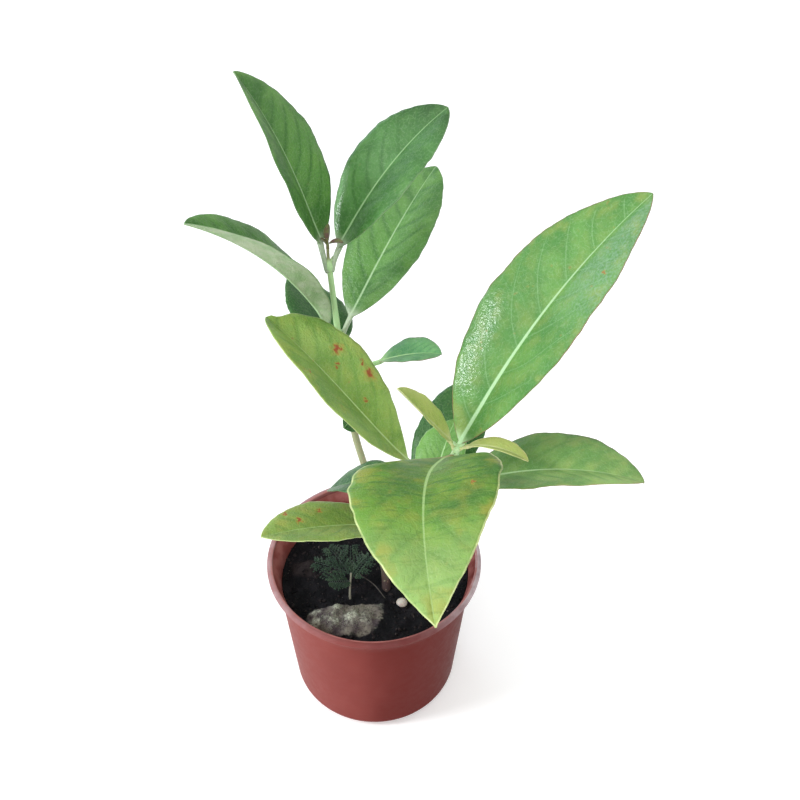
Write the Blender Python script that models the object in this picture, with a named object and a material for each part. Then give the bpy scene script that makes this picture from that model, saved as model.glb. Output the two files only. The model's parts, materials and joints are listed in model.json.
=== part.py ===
"""Young broad-leaved viburnum in a round plastic nursery pot.

Metres, +Z up. The origin is the centre of the pot's underside, on the surface that it stands on.
+X is to the right and +Y is to the back of the plant as it is usually looked at.
"""

import math
from dataclasses import dataclass

import bmesh
import bpy
from mathutils import Matrix, Vector
from mathutils.bvhtree import BVHTree

MM = 0.001
GAP = 0.3 * MM

# Pot: a 120 mm nursery pot with a rolled lip
POT_HEIGHT = 98 * MM
POT_RIM_RADIUS = 60 * MM
POT_NECK_RADIUS = 54.3 * MM
POT_NECK_HEIGHT = 83 * MM
POT_FOOT_RADIUS = 48.1 * MM
POT_CORNER_RADIUS = 7.5 * MM
POT_LIP_RADIUS = 2.5 * MM
POT_WALL = 1.4 * MM
POT_FLOOR = 1.8 * MM
ROUND_SEGMENTS = 40
DRAIN_HOLES = 6
DRAIN_HOLE_RADIUS = 4.5 * MM
DRAIN_CIRCLE_RADIUS = 30 * MM

# Soil: centre x, centre y, half width, half depth and height of each lump, in millimetres
SOIL_TOP = 83.5 * MM
SOIL_RINGS = 12
SOIL_LUMPS = (
    (-18, -33, 20, 10, 6.0),
    (-40, 6, 7, 6, 3.5),
    (26, 14, 12, 9, 2.5),
    (-12, 28, 14, 10, 2.5),
    (33, -22, 8, 9, 1.8),
    (2, -40, 9, 5, 1.6),
)
SOIL_RIPPLE = 0.7 * MM
RIPPLE_WAVES = (290, 260, 520)
# how far the surface rises at its highest side, which way that is, and how steeply it levels out there
SOIL_TILT = 3 * MM
SOIL_HIGH_SIDE = -40
SOIL_EDGE_STEEPNESS = 8

# Shoots: points along each axis, in millimetres, and the radius at its two ends
TRUNK_FOOT = ((6.2, -12.6, 64), (6.0, -11.4, 84))
FORK = (5.3, -8.2, 99)
TALL_SHOOT = TRUNK_FOOT + (
    FORK,
    (0.5, 0.9, 145),
    (-8.6, 7.1, 188),
    (-12.6, 12.4, 224),
    (-14.3, 15.2, 242),
    (-17.3, 20.6, 281),
    (-17.6, 22.2, 290),
)
SHORT_SHOOT = (
    FORK,
    (13.2, -16.0, 121),
    (20.0, -25.0, 151),
    (26.2, -33.0, 178),
    (33.0, -40.5, 205),
    (36.5, -44.0, 225),
)
TALL_RADII = (2.6 * MM, 1.2 * MM)
SHORT_RADII = (1.9 * MM, 1.4 * MM)
NODE_SWELLING = 0.45 * MM
NODE_REACH = 2.5 * MM
SHOOT_TAPER = 0.6
SHOOT_SIDES = 8
SHOOT_STEP = 4 * MM

# Leaves
BLADE_THICKNESS = 0.7 * MM
MIDRIB_DEPTH = 1.5 * MM
BLADE_STEPS = 60
BLADE_RINGS = (1, 4, 8, 13, 18, 24, 30, 36, 42, 48, 53, 57, 60)
ACROSS = (-1.0, -0.5, 0.0, 0.5, 1.0)
PETIOLE_RINGS = 4
MARGIN_WAVES = 3.5
MARGIN_WAVE_HEIGHT = 0.02
# the stalk's thickness runs on into this share of the blade
MERGE_LENGTH = 0.15
STALK_CROWN = 0.6
STALK_TAPER = 0.75
MIDRIB_TAPER = 0.6
FOLD_TAPER = 0.35


@dataclass(frozen=True)
class Leaf:
    """One leaf. Lengths are in millimetres and angles in degrees.

    heading and rise aim the leaf stalk, roll turns it about its own axis, and the blade then
    bends down by droop, to its left by sweep and about its midrib by twist on its way to the tip.
    late above 1 puts more of the droop near the tip. fold lifts both halves from the midrib.
    near_base and near_tip are the powers that round the outline at its two ends.
    """

    name: str
    shoot: str
    height: float
    heading: float
    rise: float
    petiole: float
    length: float
    width: float
    roll: float = 0.0
    droop: float = 20.0
    late: float = 1.25
    sweep: float = 0.0
    twist: float = 0.0
    fold: float = 12.0
    near_base: float = 0.8
    near_tip: float = 0.75


LEAVES = (
    Leaf("leaf_tall_tip_left", "tall", 281, 151, 73, 12, 84, 43,
         roll=-1, droop=22, late=1.4, sweep=2, twist=21, fold=20),
    Leaf("leaf_tall_tip_right", "tall", 281, 30, 57, 10, 80, 40,
         roll=2, droop=32, sweep=4, twist=3, fold=13, near_tip=0.7),
    Leaf("leaf_tall_upper_right", "tall", 242, 52, 39, 12, 90, 40,
         roll=1, droop=20, sweep=-2, twist=-5, fold=8),
    Leaf("leaf_tall_upper_left", "tall", 242, 206, 66, 12, 98, 33,
         roll=4, droop=34, sweep=5, twist=2, fold=36, near_base=0.85, near_tip=0.7),
    Leaf("leaf_tall_middle", "tall", 232, 115, 27, 6, 47, 37,
         roll=18, droop=11, sweep=-4, twist=14, fold=6, near_base=0.65, near_tip=0.85),
    Leaf("leaf_tall_small_right", "tall", 224, -6, 23, 19, 31, 24,
         roll=-9, droop=26, late=1.4, sweep=2, twist=-2, fold=16, near_base=0.9, near_tip=0.7),
    Leaf("leaf_tall_small_hanging", "tall", 205, 277, 18, 5, 19, 14,
         roll=-51, droop=43, late=1.3, sweep=11, twist=-14, near_tip=0.7),
    Leaf("leaf_short_young_left", "short", 224, 181, 54, 5, 39, 19,
         roll=-10, droop=5, sweep=10, twist=19, fold=23),
    Leaf("leaf_short_young_right", "short", 224, 335, 26, 5, 30, 11,
         roll=-7, droop=49, sweep=-1, twist=-5, fold=30, near_base=0.85),
    Leaf("leaf_short_broad_back", "short", 218, 42, 50, 6, 140, 58,
         roll=-5, droop=15, sweep=14, twist=-14, fold=18),
    Leaf("leaf_short_broad_front", "short", 218, 243, 37, 13, 117, 62,
         roll=22, droop=87, late=1.8, sweep=-20, twist=-9, fold=7, near_base=0.75, near_tip=1.05),
    Leaf("leaf_short_upper_left", "short", 189, 172, 52, 22, 97, 49,
         roll=-17, droop=25, late=1.75, sweep=24, twist=19, fold=23, near_base=1.05, near_tip=0.65),
    Leaf("leaf_short_upper_right", "short", 189, -14, 29, 13, 87, 44,
         roll=1, droop=34, late=1.45, sweep=6, twist=-20, fold=19, near_base=0.85),
    Leaf("leaf_short_shaded_left", "short", 178, 159, 14, 7, 49, 31,
         roll=1, droop=58, sweep=5, twist=20, fold=16, near_base=0.85),
    Leaf("leaf_short_shaded_back", "short", 178, 67, 45, 5, 37, 27,
         roll=-12, droop=19, sweep=3, twist=-9, fold=11, near_tip=0.8),
    Leaf("leaf_short_low_left", "short", 151, 197, 24, 14, 70, 34,
         roll=7, droop=18, late=1.45, sweep=1, twist=7, fold=14, near_base=0.85),
    Leaf("leaf_short_low_back", "short", 151, 58, 46, 10, 78, 37,
         roll=-7, droop=26, sweep=6, twist=-4, near_base=0.85),
)

# heading, rise and length of each young leaf round the tip bud
BUD_LEAVES = ((205, 66, 5.5), (282, 82, 9), (335, 52, 6))
BUD_LEAF_WIDTH = 3.2 * MM
BUD_LEAF_FOOT = 1.6 * MM
BUD_LEAF_STEPS = (0.0, 0.3, 0.65, 0.95)
BUD_LEAF_DROP = 0.18
BUD_LEAF_FOLD = 0.5
BUD_SPIKE = ((0, 0, 0), (0, 0.1, 1.5), (0, 0.3, 6))
BUD_SPIKE_SHARES = (1.0, 0.95, 0.5)

# Small things on the soil, in millimetres
WEED_FOOT = (-14.4, -18.0, 79.0)
WEED_BEND = (-14.6, -16.5, 88.0)
WEED_CROWN = (-13.4, -11.0, 98.0)
WEED_STALK_RADII = (0.69 * MM, 0.57 * MM)
# heading, rise and length of each frond
WEED_FRONDS = ((170, 16, 21), (128, 38, 20), (88, 20, 21), (44, 46, 15), (212, 42, 15))
WEED_FROND_SPACING = 1.0 * MM
FROND_LOBES = 4
FROND_RIB = 0.45 * MM
FROND_THICKNESS = 0.6 * MM
FROND_ARCH = 0.28
FROND_SAG = 0.15
PEBBLE_PLACE = (13.7, -25.1)
PEBBLE_RADII = (3.2 * MM, 2.7 * MM, 2.4 * MM)
PEBBLE_SKEW = (0.10, -0.12)
PEBBLE_FLAT = -0.75
TWIG_ENDS = ((-8.0, -6.5, 90.5), (4.5, -20.0, 86.0))
TWIG_ARCH = (0.8, 0.8, 0.6)
TWIG_RADIUS = 0.55 * MM
TWIG_TAPER = 0.25

GREEN = (0.115, 0.275, 0.055)
YELLOW_GREEN = (0.235, 0.390, 0.085)
PALE_OLIVE = (0.420, 0.430, 0.140)
DARK_GREEN = (0.055, 0.160, 0.050)
SHADED_GREEN = (0.050, 0.165, 0.060)
LEAF_COLOURS = {
    "leaf_short_young_left": PALE_OLIVE,
    "leaf_short_young_right": PALE_OLIVE,
    "leaf_short_broad_front": YELLOW_GREEN,
    "leaf_short_upper_left": YELLOW_GREEN,
    "leaf_short_low_left": YELLOW_GREEN,
    "leaf_short_shaded_left": SHADED_GREEN,
    "leaf_short_low_back": SHADED_GREEN,
    "leaf_tall_middle": SHADED_GREEN,
}


def clear_scene():
    for item in list(bpy.context.scene.objects):
        bpy.data.objects.remove(item, do_unlink=True)


def make_material(name, colour, roughness):
    material = bpy.data.materials.new(name)
    material.use_nodes = True
    shader = material.node_tree.nodes["Principled BSDF"]
    shader.inputs["Base Color"].default_value = (*colour, 1.0)
    shader.inputs["Roughness"].default_value = roughness
    shader.inputs["Metallic"].default_value = 0.0
    return material


def make_object(name, bm, material=None, origin=(0, 0, 0), sharp_angle=50):
    """Turn a bmesh in world coordinates into an object whose own origin is at origin."""
    bmesh.ops.recalc_face_normals(bm, faces=bm.faces)
    bmesh.ops.translate(bm, verts=bm.verts, vec=-Vector(origin))
    mesh = bpy.data.meshes.new(name)
    bm.to_mesh(mesh)
    bm.free()
    if material:
        mesh.materials.append(material)
    mesh.shade_smooth()
    mesh.set_sharp_from_angle(angle=math.radians(sharp_angle))
    item = bpy.data.objects.new(name, mesh)
    item.location = origin
    bpy.context.scene.collection.objects.link(item)
    return item


def make_cutter(name, bm):
    cutter = make_object(name, bm)
    cutter.hide_render = True
    cutter.display_type = "WIRE"
    return cutter


def cut(item, cutter):
    modifier = item.modifiers.new(cutter.name, "BOOLEAN")
    modifier.operation = "DIFFERENCE"
    modifier.solver = "EXACT"
    modifier.object = cutter


def fuse(items):
    """Join the items into the first one with a single Boolean union, and remove the others."""
    base, *others = items
    group = bpy.data.collections.new(base.name + "_pieces")
    bpy.context.scene.collection.children.link(group)
    for item in others:
        bpy.context.scene.collection.objects.unlink(item)
        group.objects.link(item)
    modifier = base.modifiers.new("join", "BOOLEAN")
    modifier.operation = "UNION"
    modifier.solver = "EXACT"
    modifier.operand_type = "COLLECTION"
    modifier.collection = group
    bpy.context.view_layer.update()
    view = bpy.context.evaluated_depsgraph_get()
    joined = bpy.data.meshes.new_from_object(base.evaluated_get(view))
    base.modifiers.clear()
    base.data = joined
    for item in others:
        bpy.data.objects.remove(item, do_unlink=True)
    bpy.data.collections.remove(group)
    return base


def smooth_path(points, step):
    """Points in metres along a Catmull-Rom curve through points given in millimetres."""
    knots = [Vector(point) * MM for point in points]
    knots = [knots[0] * 2 - knots[1], *knots, knots[-1] * 2 - knots[-2]]
    path = [knots[1]]
    for before, start, end, after in zip(knots, knots[1:], knots[2:], knots[3:]):
        count = max(1, math.ceil((end - start).length / step))
        for index in range(1, count + 1):
            t = index / count
            leaving = (end - before) / 2
            arriving = (after - start) / 2
            path.append(
                start * (2 * t**3 - 3 * t**2 + 1)
                + leaving * (t**3 - 2 * t**2 + t)
                + end * (3 * t**2 - 2 * t**3)
                + arriving * (t**3 - t**2)
            )
    return path


def path_frames(path):
    """Direction and two cross directions at each point, turned as little as possible."""
    frames = []
    side = Vector((1, 0, 0))
    for index, point in enumerate(path):
        behind = path[max(index - 1, 0)]
        ahead = path[min(index + 1, len(path) - 1)]
        along = (ahead - behind).normalized()
        side = (side - along * side.dot(along)).normalized()
        frames.append((point, along, side, along.cross(side)))
    return frames


def add_rings(bm, rings):
    """Bridge closed rings of equal length and cap both ends, as a closed loft."""
    rows = [[bm.verts.new(point) for point in ring] for ring in rings]
    count = len(rows[0])
    for row, following in zip(rows, rows[1:]):
        for index in range(count):
            after = (index + 1) % count
            bm.faces.new((row[index], row[after], following[after], following[index]))
    bm.faces.new(reversed(rows[0]))
    bm.faces.new(rows[-1])


def tube(path, radii, sides):
    bm = bmesh.new()
    rings = []
    for (point, _, side, cross), radius in zip(path_frames(path), radii):
        angles = [2 * math.pi * index / sides for index in range(sides)]
        rings.append([point + (side * math.cos(a) + cross * math.sin(a)) * radius for a in angles])
    add_rings(bm, rings)
    return bm


def revolve(profile):
    """Spin a closed profile of (radius, height) points, which starts and ends on the axis."""
    bm = bmesh.new()
    verts = [bm.verts.new((radius, 0, height)) for radius, height in profile]
    edges = [bm.edges.new(pair) for pair in zip(verts, verts[1:])]
    bmesh.ops.spin(
        bm, geom=verts + edges, cent=(0, 0, 0), axis=(0, 0, 1),
        angle=2 * math.pi, steps=ROUND_SEGMENTS, use_merge=True,
    )
    bmesh.ops.remove_doubles(bm, verts=bm.verts, dist=0.01 * MM)
    return bm


def arc(centre, radius, start, end, count):
    """Points on a circle in the (radius, height) plane, angles in degrees."""
    turn = [math.radians(start + (end - start) * index / count) for index in range(count + 1)]
    return [(centre[0] + radius * math.cos(a), centre[1] + radius * math.sin(a)) for a in turn]


def wall_radius(height):
    """Outer radius of the pot's wall at a height: a straight lean, then a flare up to the lip."""
    lean = (POT_NECK_RADIUS - POT_FOOT_RADIUS) / (POT_NECK_HEIGHT - POT_CORNER_RADIUS)
    lip_bottom = POT_HEIGHT - 2 * POT_LIP_RADIUS
    flare = max(0.0, (height - POT_NECK_HEIGHT) / (lip_bottom - POT_NECK_HEIGHT))
    straight_at_lip = POT_FOOT_RADIUS + lean * (lip_bottom - POT_CORNER_RADIUS)
    reach = POT_RIM_RADIUS - POT_LIP_RADIUS - straight_at_lip
    return POT_FOOT_RADIUS + lean * (height - POT_CORNER_RADIUS) + flare**2 * reach


def make_pot(material):
    lip_centre = (POT_RIM_RADIUS - POT_LIP_RADIUS, POT_HEIGHT - POT_LIP_RADIUS)
    corner = (POT_FOOT_RADIUS - POT_CORNER_RADIUS, POT_CORNER_RADIUS)
    lip_bottom = POT_HEIGHT - 2 * POT_LIP_RADIUS
    wall = [POT_NECK_HEIGHT + (lip_bottom - POT_NECK_HEIGHT) * share for share in (0, 0.4, 0.75)]
    lip_inside = wall_radius(lip_bottom) - POT_WALL
    profile = [(0, 0)]
    profile += arc(corner, POT_CORNER_RADIUS, -90, 0, 4)
    profile += [(wall_radius(height), height) for height in wall]
    profile += arc(lip_centre, POT_LIP_RADIUS, -90, 90, 6)
    profile += [(lip_inside, POT_HEIGHT - POT_WALL / 2)]
    profile += [(wall_radius(height) - POT_WALL, height) for height in reversed(wall)]
    profile += arc(corner, POT_CORNER_RADIUS - POT_WALL, 0, -60, 2)
    profile += [(corner[0], POT_FLOOR), (0, POT_FLOOR)]
    pot = make_object("pot", revolve(profile), material, sharp_angle=40)
    for index in range(DRAIN_HOLES):
        angle = 2 * math.pi * index / DRAIN_HOLES
        bm = bmesh.new()
        bmesh.ops.create_cone(
            bm, cap_ends=True, segments=12, radius1=DRAIN_HOLE_RADIUS,
            radius2=DRAIN_HOLE_RADIUS, depth=6 * POT_FLOOR,
        )
        place = Vector((math.cos(angle), math.sin(angle), 0)) * DRAIN_CIRCLE_RADIUS
        bmesh.ops.translate(bm, verts=bm.verts, vec=place)
        cut(pot, make_cutter(f"drain_hole_{index + 1}", bm))
    return pot


def soil_reach(angle):
    """Outer radius of the soil at an angle round the pot, one gap from the wall."""
    edge = SOIL_TOP + SOIL_TILT * math.cos(angle - math.radians(SOIL_HIGH_SIDE))
    return wall_radius(edge) - POT_WALL - GAP


def soil_height(x, y):
    """Height of the soil's surface, which leans to one side and goes smooth towards its edge."""
    reach = wall_radius(SOIL_TOP) - POT_WALL - GAP
    high = math.radians(SOIL_HIGH_SIDE)
    plane = SOIL_TOP + SOIL_TILT * (x * math.cos(high) + y * math.sin(high)) / reach
    lumps = 0.0
    for centre_x, centre_y, half_width, half_depth, height in SOIL_LUMPS:
        across, deep = (x / MM - centre_x) / half_width, (y / MM - centre_y) / half_depth
        lumps += height * MM * math.exp(-(across**4) - deep**4)
    long, broad, short = RIPPLE_WAVES
    ripple = math.sin(long * x + 1.3) * math.cos(broad * y) + math.sin(short * (x - y)) / 2
    edge = min(1.0, max(0.0, 1 - math.hypot(x, y) / reach) * SOIL_EDGE_STEEPNESS)
    return plane + (lumps + SOIL_RIPPLE * ripple) * edge


def make_soil(material):
    angles = [2 * math.pi * index / ROUND_SEGMENTS for index in range(ROUND_SEGMENTS)]
    rings = []
    for index in range(1, SOIL_RINGS + 1):
        radii = [soil_reach(a) * index / SOIL_RINGS for a in angles]
        places = [(radius * math.cos(a), radius * math.sin(a)) for a, radius in zip(angles, radii)]
        rings.append([(x, y, soil_height(x, y)) for x, y in places])
    corner = (POT_FOOT_RADIUS - POT_CORNER_RADIUS, POT_CORNER_RADIUS)
    side = [(wall_radius(POT_CORNER_RADIUS) - POT_WALL - GAP, POT_CORNER_RADIUS)]
    side += arc(corner, POT_CORNER_RADIUS - POT_WALL - GAP, -30, -60, 1)
    side += [(corner[0], POT_FLOOR + GAP)]
    for radius, height in side:
        rings.append([(radius * math.cos(a), radius * math.sin(a), height) for a in angles])
    bm = bmesh.new()
    rows = [[bm.verts.new(point) for point in ring] for ring in rings]
    centre = bm.verts.new((0, 0, soil_height(0, 0)))
    for index in range(ROUND_SEGMENTS):
        after = (index + 1) % ROUND_SEGMENTS
        bm.faces.new((centre, rows[0][index], rows[0][after]))
        for row, following in zip(rows, rows[1:]):
            bm.faces.new((row[index], following[index], following[after], row[after]))
    bm.faces.new(rows[-1])
    bmesh.ops.triangulate(bm, faces=bm.faces)
    return make_object("soil", bm, material)


def shoot_radius(height, ends, radii, nodes):
    """Radius of a shoot, thicker at the foot and swollen at each pair of leaves."""
    share = min(max((height - ends[0]) / (ends[1] - ends[0]), 0.0), 1.0)
    radius = radii[0] + (radii[1] - radii[0]) * share**SHOOT_TAPER
    swelling = sum(math.exp(-(((height - node) / NODE_REACH) ** 2)) for node in nodes)
    return radius + NODE_SWELLING * min(swelling, 1.0)


def leaf_nodes(shoot):
    return sorted({leaf.height * MM for leaf in LEAVES if leaf.shoot == shoot})


def shoot_tube(points, radii, shoot, extra=0.0):
    path = smooth_path(points, SHOOT_STEP)
    ends = (SOIL_TOP if shoot == "tall" else path[0].z, path[-1].z)
    nodes = leaf_nodes(shoot)
    return tube(path, [shoot_radius(p.z, ends, radii, nodes) + extra for p in path], SHOOT_SIDES)


def make_shoots(material):
    tall = make_object("woody_shoots", shoot_tube(TALL_SHOOT, TALL_RADII, "tall"), material)
    short = make_object("short_shoot", shoot_tube(SHORT_SHOOT, SHORT_RADII, "short"), material)
    return fuse([tall, short])


def trunk_hole():
    """Cutter around the buried foot of the trunk, wider than it by the gap."""
    foot, top = (Vector(point) for point in TRUNK_FOOT)
    down = (foot - top).normalized()
    points = (foot + down * (GAP / MM), foot, top, FORK)
    return make_cutter("trunk_hole", shoot_tube(points, TALL_RADII, "tall", extra=GAP))


def point_on_shoot(shoot, height):
    """The axis point, its direction and the shoot's radius at a height."""
    points, radii = (TALL_SHOOT, TALL_RADII) if shoot == "tall" else (SHORT_SHOOT, SHORT_RADII)
    path = smooth_path(points, 0.5 * MM)
    index = min(range(1, len(path)), key=lambda i: abs(path[i].z - height))
    along = (path[index] - path[index - 1]).normalized()
    ends = (SOIL_TOP if shoot == "tall" else path[0].z, path[-1].z)
    return path[index], along, shoot_radius(height, ends, radii, leaf_nodes(shoot))


def turned(vector, axis, angle):
    return Matrix.Rotation(angle, 3, axis) @ vector


def blade_frames(leaf, anchor):
    """Point, direction, upward normal and rightward side at each step along the midrib."""
    heading, rise = math.radians(leaf.heading), math.radians(leaf.rise)
    along = Vector((
        math.cos(heading) * math.cos(rise), math.sin(heading) * math.cos(rise), math.sin(rise),
    ))
    side = Vector((math.sin(heading), -math.cos(heading), 0))
    normal = side.cross(along)
    roll = math.radians(leaf.roll)
    normal, side = turned(normal, along, roll), turned(side, along, roll)
    point = anchor + along * leaf.petiole * MM
    frames = [(point.copy(), along, normal, side)]
    for step in range(BLADE_STEPS):
        start, end = step / BLADE_STEPS, (step + 1) / BLADE_STEPS
        droop = -math.radians(leaf.droop) * (end**leaf.late - start**leaf.late)
        sweep = -math.radians(leaf.sweep) / BLADE_STEPS
        twist = math.radians(leaf.twist) / BLADE_STEPS
        along, normal = turned(along, side, droop), turned(normal, side, droop)
        along, side = turned(along, normal, sweep), turned(side, normal, sweep)
        normal, side = turned(normal, along, twist), turned(side, along, twist)
        point = point + along * leaf.length * MM / BLADE_STEPS
        frames.append((point.copy(), along, normal, side))
    return frames


def half_width(leaf, t):
    widest = leaf.near_base / (leaf.near_base + leaf.near_tip)
    rising = (t / widest) ** leaf.near_base
    falling = ((1 - t) / (1 - widest)) ** leaf.near_tip
    return leaf.width / 2 * MM * rising * falling


def petiole_radius(leaf):
    return (0.65 + 0.013 * leaf.width) * MM


def blade_ring(leaf, step, frame):
    """One closed cross-section of the blade, upper face from left to right, then lower face."""
    point, _, normal, side = frame
    t = step / BLADE_STEPS
    stalk = petiole_radius(leaf)
    half = max(half_width(leaf, t), stalk * (1 - STALK_TAPER * t))
    fold = math.radians(leaf.fold) * (1 - FOLD_TAPER * t)
    merge = max(0.0, 1 - t / MERGE_LENGTH) ** 2
    upper, lower = [], []
    for v in ACROSS:
        # full in the middle of the blade and nothing at its two ends
        swell = t * (1 - t) * 4
        wave = math.sin(2 * math.pi * MARGIN_WAVES * t + 1.5 * v) * MARGIN_WAVE_HEIGHT * swell
        lift = half * (abs(v) * math.sin(fold) + wave * v * v)
        top = point + side * half * v * math.cos(fold) + normal * lift
        rib = MIDRIB_DEPTH * (1 - MIDRIB_TAPER * t) if v == 0 else BLADE_THICKNESS
        depth = rib + merge * (1 - v * v) * max(2 * stalk - rib, 0)
        upper.append(top + normal * merge * (1 - v * v) * stalk * STALK_CROWN)
        lower.append(top - normal * depth)
    return upper + lower[::-1]


def petiole_rings(leaf, frames, anchor, stem_along, stem_radius):
    """Round sections from just off the stem, along a bend, up to the blade."""
    base, along, _, side = frames[0]
    outward = along - stem_along * along.dot(stem_along)
    away = outward.length
    outward.normalize()
    stalk = petiole_radius(leaf)
    # the bend lies back along the blade's line, no nearer to the stem than the stalk can go
    room = leaf.petiole * MM * away - (stem_radius + GAP + stalk)
    bend = base - along * min(leaf.petiole * MM * 0.55, max(room, 0.2 * MM) / away)
    start = anchor + outward * (stem_radius + GAP)
    for _ in range(4):
        leaving = (bend - start).normalized()
        slant = abs(leaving.dot(stem_along))
        start = anchor + outward * (stem_radius + GAP + stalk * slant)
    angles = [math.pi * (0.9 - 0.2 * index) for index in range(len(ACROSS))]
    angles += [-angle for angle in reversed(angles)]
    rings = []
    for index in range(PETIOLE_RINGS):
        t = index / PETIOLE_RINGS
        point = start * (1 - t) ** 2 + bend * 2 * t * (1 - t) + base * t * t
        direction = ((bend - start) * (1 - t) + (base - bend) * t).normalized()
        across = (side - direction * side.dot(direction)).normalized()
        up = across.cross(direction)
        rings.append([point + (across * math.cos(a) + up * math.sin(a)) * stalk for a in angles])
    return rings


def make_leaf(leaf, material):
    anchor, stem_along, stem_radius = point_on_shoot(leaf.shoot, leaf.height * MM)
    frames = blade_frames(leaf, anchor)
    rings = petiole_rings(leaf, frames, anchor, stem_along, stem_radius)
    origin = sum(rings[0], Vector()) / len(rings[0])
    rings += [blade_ring(leaf, step, frames[step]) for step in BLADE_RINGS]
    bm = bmesh.new()
    rows = [[bm.verts.new(point) for point in ring] for ring in rings]
    count = len(rows[0])
    half = count // 2
    for row, following in zip(rows, rows[1:]):
        for index in range(count):
            after = (index + 1) % count
            corners = (row[index], row[after], following[after], following[index])
            # the lower face runs the other way, so its split is mirrored to match the upper one
            first = 0 if index < half else 1
            bm.faces.new([corners[(first + k) % 4] for k in (0, 1, 2)])
            bm.faces.new([corners[(first + k) % 4] for k in (0, 2, 3)])
    for row in (rows[0], rows[-1]):
        for index in range(half - 1):
            left, right = row[index], row[index + 1]
            below_left, below_right = row[count - 1 - index], row[count - 2 - index]
            bm.faces.new((left, right, below_right))
            bm.faces.new((left, below_right, below_left))
    return make_object(leaf.name, bm, material, origin=origin, sharp_angle=60)


def bud_leaf(length):
    """A little pointed leaf along +X, folded along its middle and arched down at its tip."""
    bm = bmesh.new()
    rings = []
    for t in BUD_LEAF_STEPS:
        half = max(BUD_LEAF_WIDTH / 2 * math.sin(math.pi * (0.12 + 0.85 * t)), BLADE_THICKNESS / 2)
        drop = length * BUD_LEAF_DROP * t * t
        upper = [(length * t, half * v, half * BUD_LEAF_FOLD * abs(v) - drop) for v in (-1, 0, 1)]
        lower = [(x, y, z - BLADE_THICKNESS) for x, y, z in reversed(upper)]
        rings.append(upper + lower)
    add_rings(bm, rings)
    return bm


def aimed(bm, place, heading, rise):
    turn = Matrix.Rotation(math.radians(heading), 4, "Z") @ Matrix.Rotation(-math.radians(rise), 4, "Y")
    bmesh.ops.transform(bm, matrix=Matrix.Translation(place) @ turn, verts=bm.verts)
    return bm


def make_bud(material):
    """The closed tip bud: a short spike with three small young leaves around it."""
    start = Vector(TALL_SHOOT[-1]) * MM + Vector((0, 0, GAP))
    spike = [start + Vector(point) * MM for point in BUD_SPIKE]
    radii = [TALL_RADII[1] * share for share in BUD_SPIKE_SHARES]
    items = [make_object("tip_bud", tube(spike, radii, SHOOT_SIDES), material)]
    foot = start + Vector((0, 0, BUD_LEAF_FOOT))
    for index, (heading, rise, length) in enumerate(BUD_LEAVES):
        bm = aimed(bud_leaf(length * MM), foot, heading, rise)
        items.append(make_object(f"bud_leaf_{index + 1}", bm, material))
    return fuse(items)


def frond(length):
    """A thin arched leaf along +X whose outline is cut to the rib in pairs of lobes."""
    outline = [(-0.5 * MM, 0.4 * MM)]
    for index in range(FROND_LOBES):
        t = 0.25 + 0.72 * index / FROND_LOBES
        reach = length * (0.32 - 0.30 * abs(t - 0.4))
        outline.append((length * t, FROND_RIB))
        outline.append((length * t + reach * 0.3, reach))
        outline.append((length * t + reach * 0.48, reach * 0.7))
    outline.append((length * 0.97, 0.5 * MM))
    points = outline + [(x, -y) for x, y in reversed(outline)]

    def arched(x, y, z):
        return (x, y, z - FROND_ARCH * x * x / length - FROND_SAG * abs(y))

    bm = bmesh.new()
    upper = [bm.verts.new(arched(x, y, 0)) for x, y in points]
    lower = [bm.verts.new(arched(x, y, -FROND_THICKNESS)) for x, y in points]
    count = len(points)
    half = count // 2
    for index in range(count):
        after = (index + 1) % count
        bm.faces.new((upper[index], upper[after], lower[after], lower[index]))
    for index in range(half - 1):
        mirror = count - 1 - index
        for row in (upper, lower):
            bm.faces.new((row[index], row[index + 1], row[mirror - 1]))
            bm.faces.new((row[index], row[mirror - 1], row[mirror]))
    return bm


def make_weed(material):
    path = smooth_path((WEED_FOOT, WEED_BEND, WEED_CROWN), 3 * MM)
    thick, thin = WEED_STALK_RADII
    radii = [thick + (thin - thick) * index / (len(path) - 1) for index in range(len(path))]
    items = [make_object("weed_sprig", tube(path, radii, 6), material)]
    down = (path[-3] - path[-1]).normalized() * WEED_FROND_SPACING
    for index, (heading, rise, length) in enumerate(WEED_FRONDS):
        bm = aimed(frond(length * MM), path[-1] + down * (index + 0.5), heading, rise)
        items.append(make_object(f"frond_{index + 1}", bm, material))
    return fuse(items)


def weed_hole():
    below = Vector(WEED_FOOT) - Vector((0, 0, GAP / MM))
    path = smooth_path((below, WEED_FOOT, WEED_BEND), 3 * MM)
    return make_cutter("weed_hole", tube(path, [WEED_STALK_RADII[0] + GAP] * len(path), 8))


def settle(bm, ground):
    """Lower or raise a mesh until its closest point is one gap above the ground."""
    clearances = []
    for vert in bm.verts:
        hit = ground.ray_cast(vert.co + Vector((0, 0, 50 * MM)), Vector((0, 0, -1)))[0]
        clearances.append(vert.co.z - hit.z)
    bmesh.ops.translate(bm, verts=bm.verts, vec=(0, 0, GAP - min(clearances)))
    return bm


def make_pebble(material, ground):
    bm = bmesh.new()
    bmesh.ops.create_icosphere(bm, subdivisions=2, radius=1.0)
    for vert in bm.verts:
        x, y, z = vert.co
        vert.co.x = PEBBLE_RADII[0] * (x + PEBBLE_SKEW[0] * y * z)
        vert.co.y = PEBBLE_RADII[1] * (y + PEBBLE_SKEW[1] * x * x)
        vert.co.z = PEBBLE_RADII[2] * max(z, PEBBLE_FLAT)
    bmesh.ops.translate(bm, verts=bm.verts, vec=(PEBBLE_PLACE[0] * MM, PEBBLE_PLACE[1] * MM, SOIL_TOP))
    return make_object("white_pebble", settle(bm, ground), material)


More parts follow.
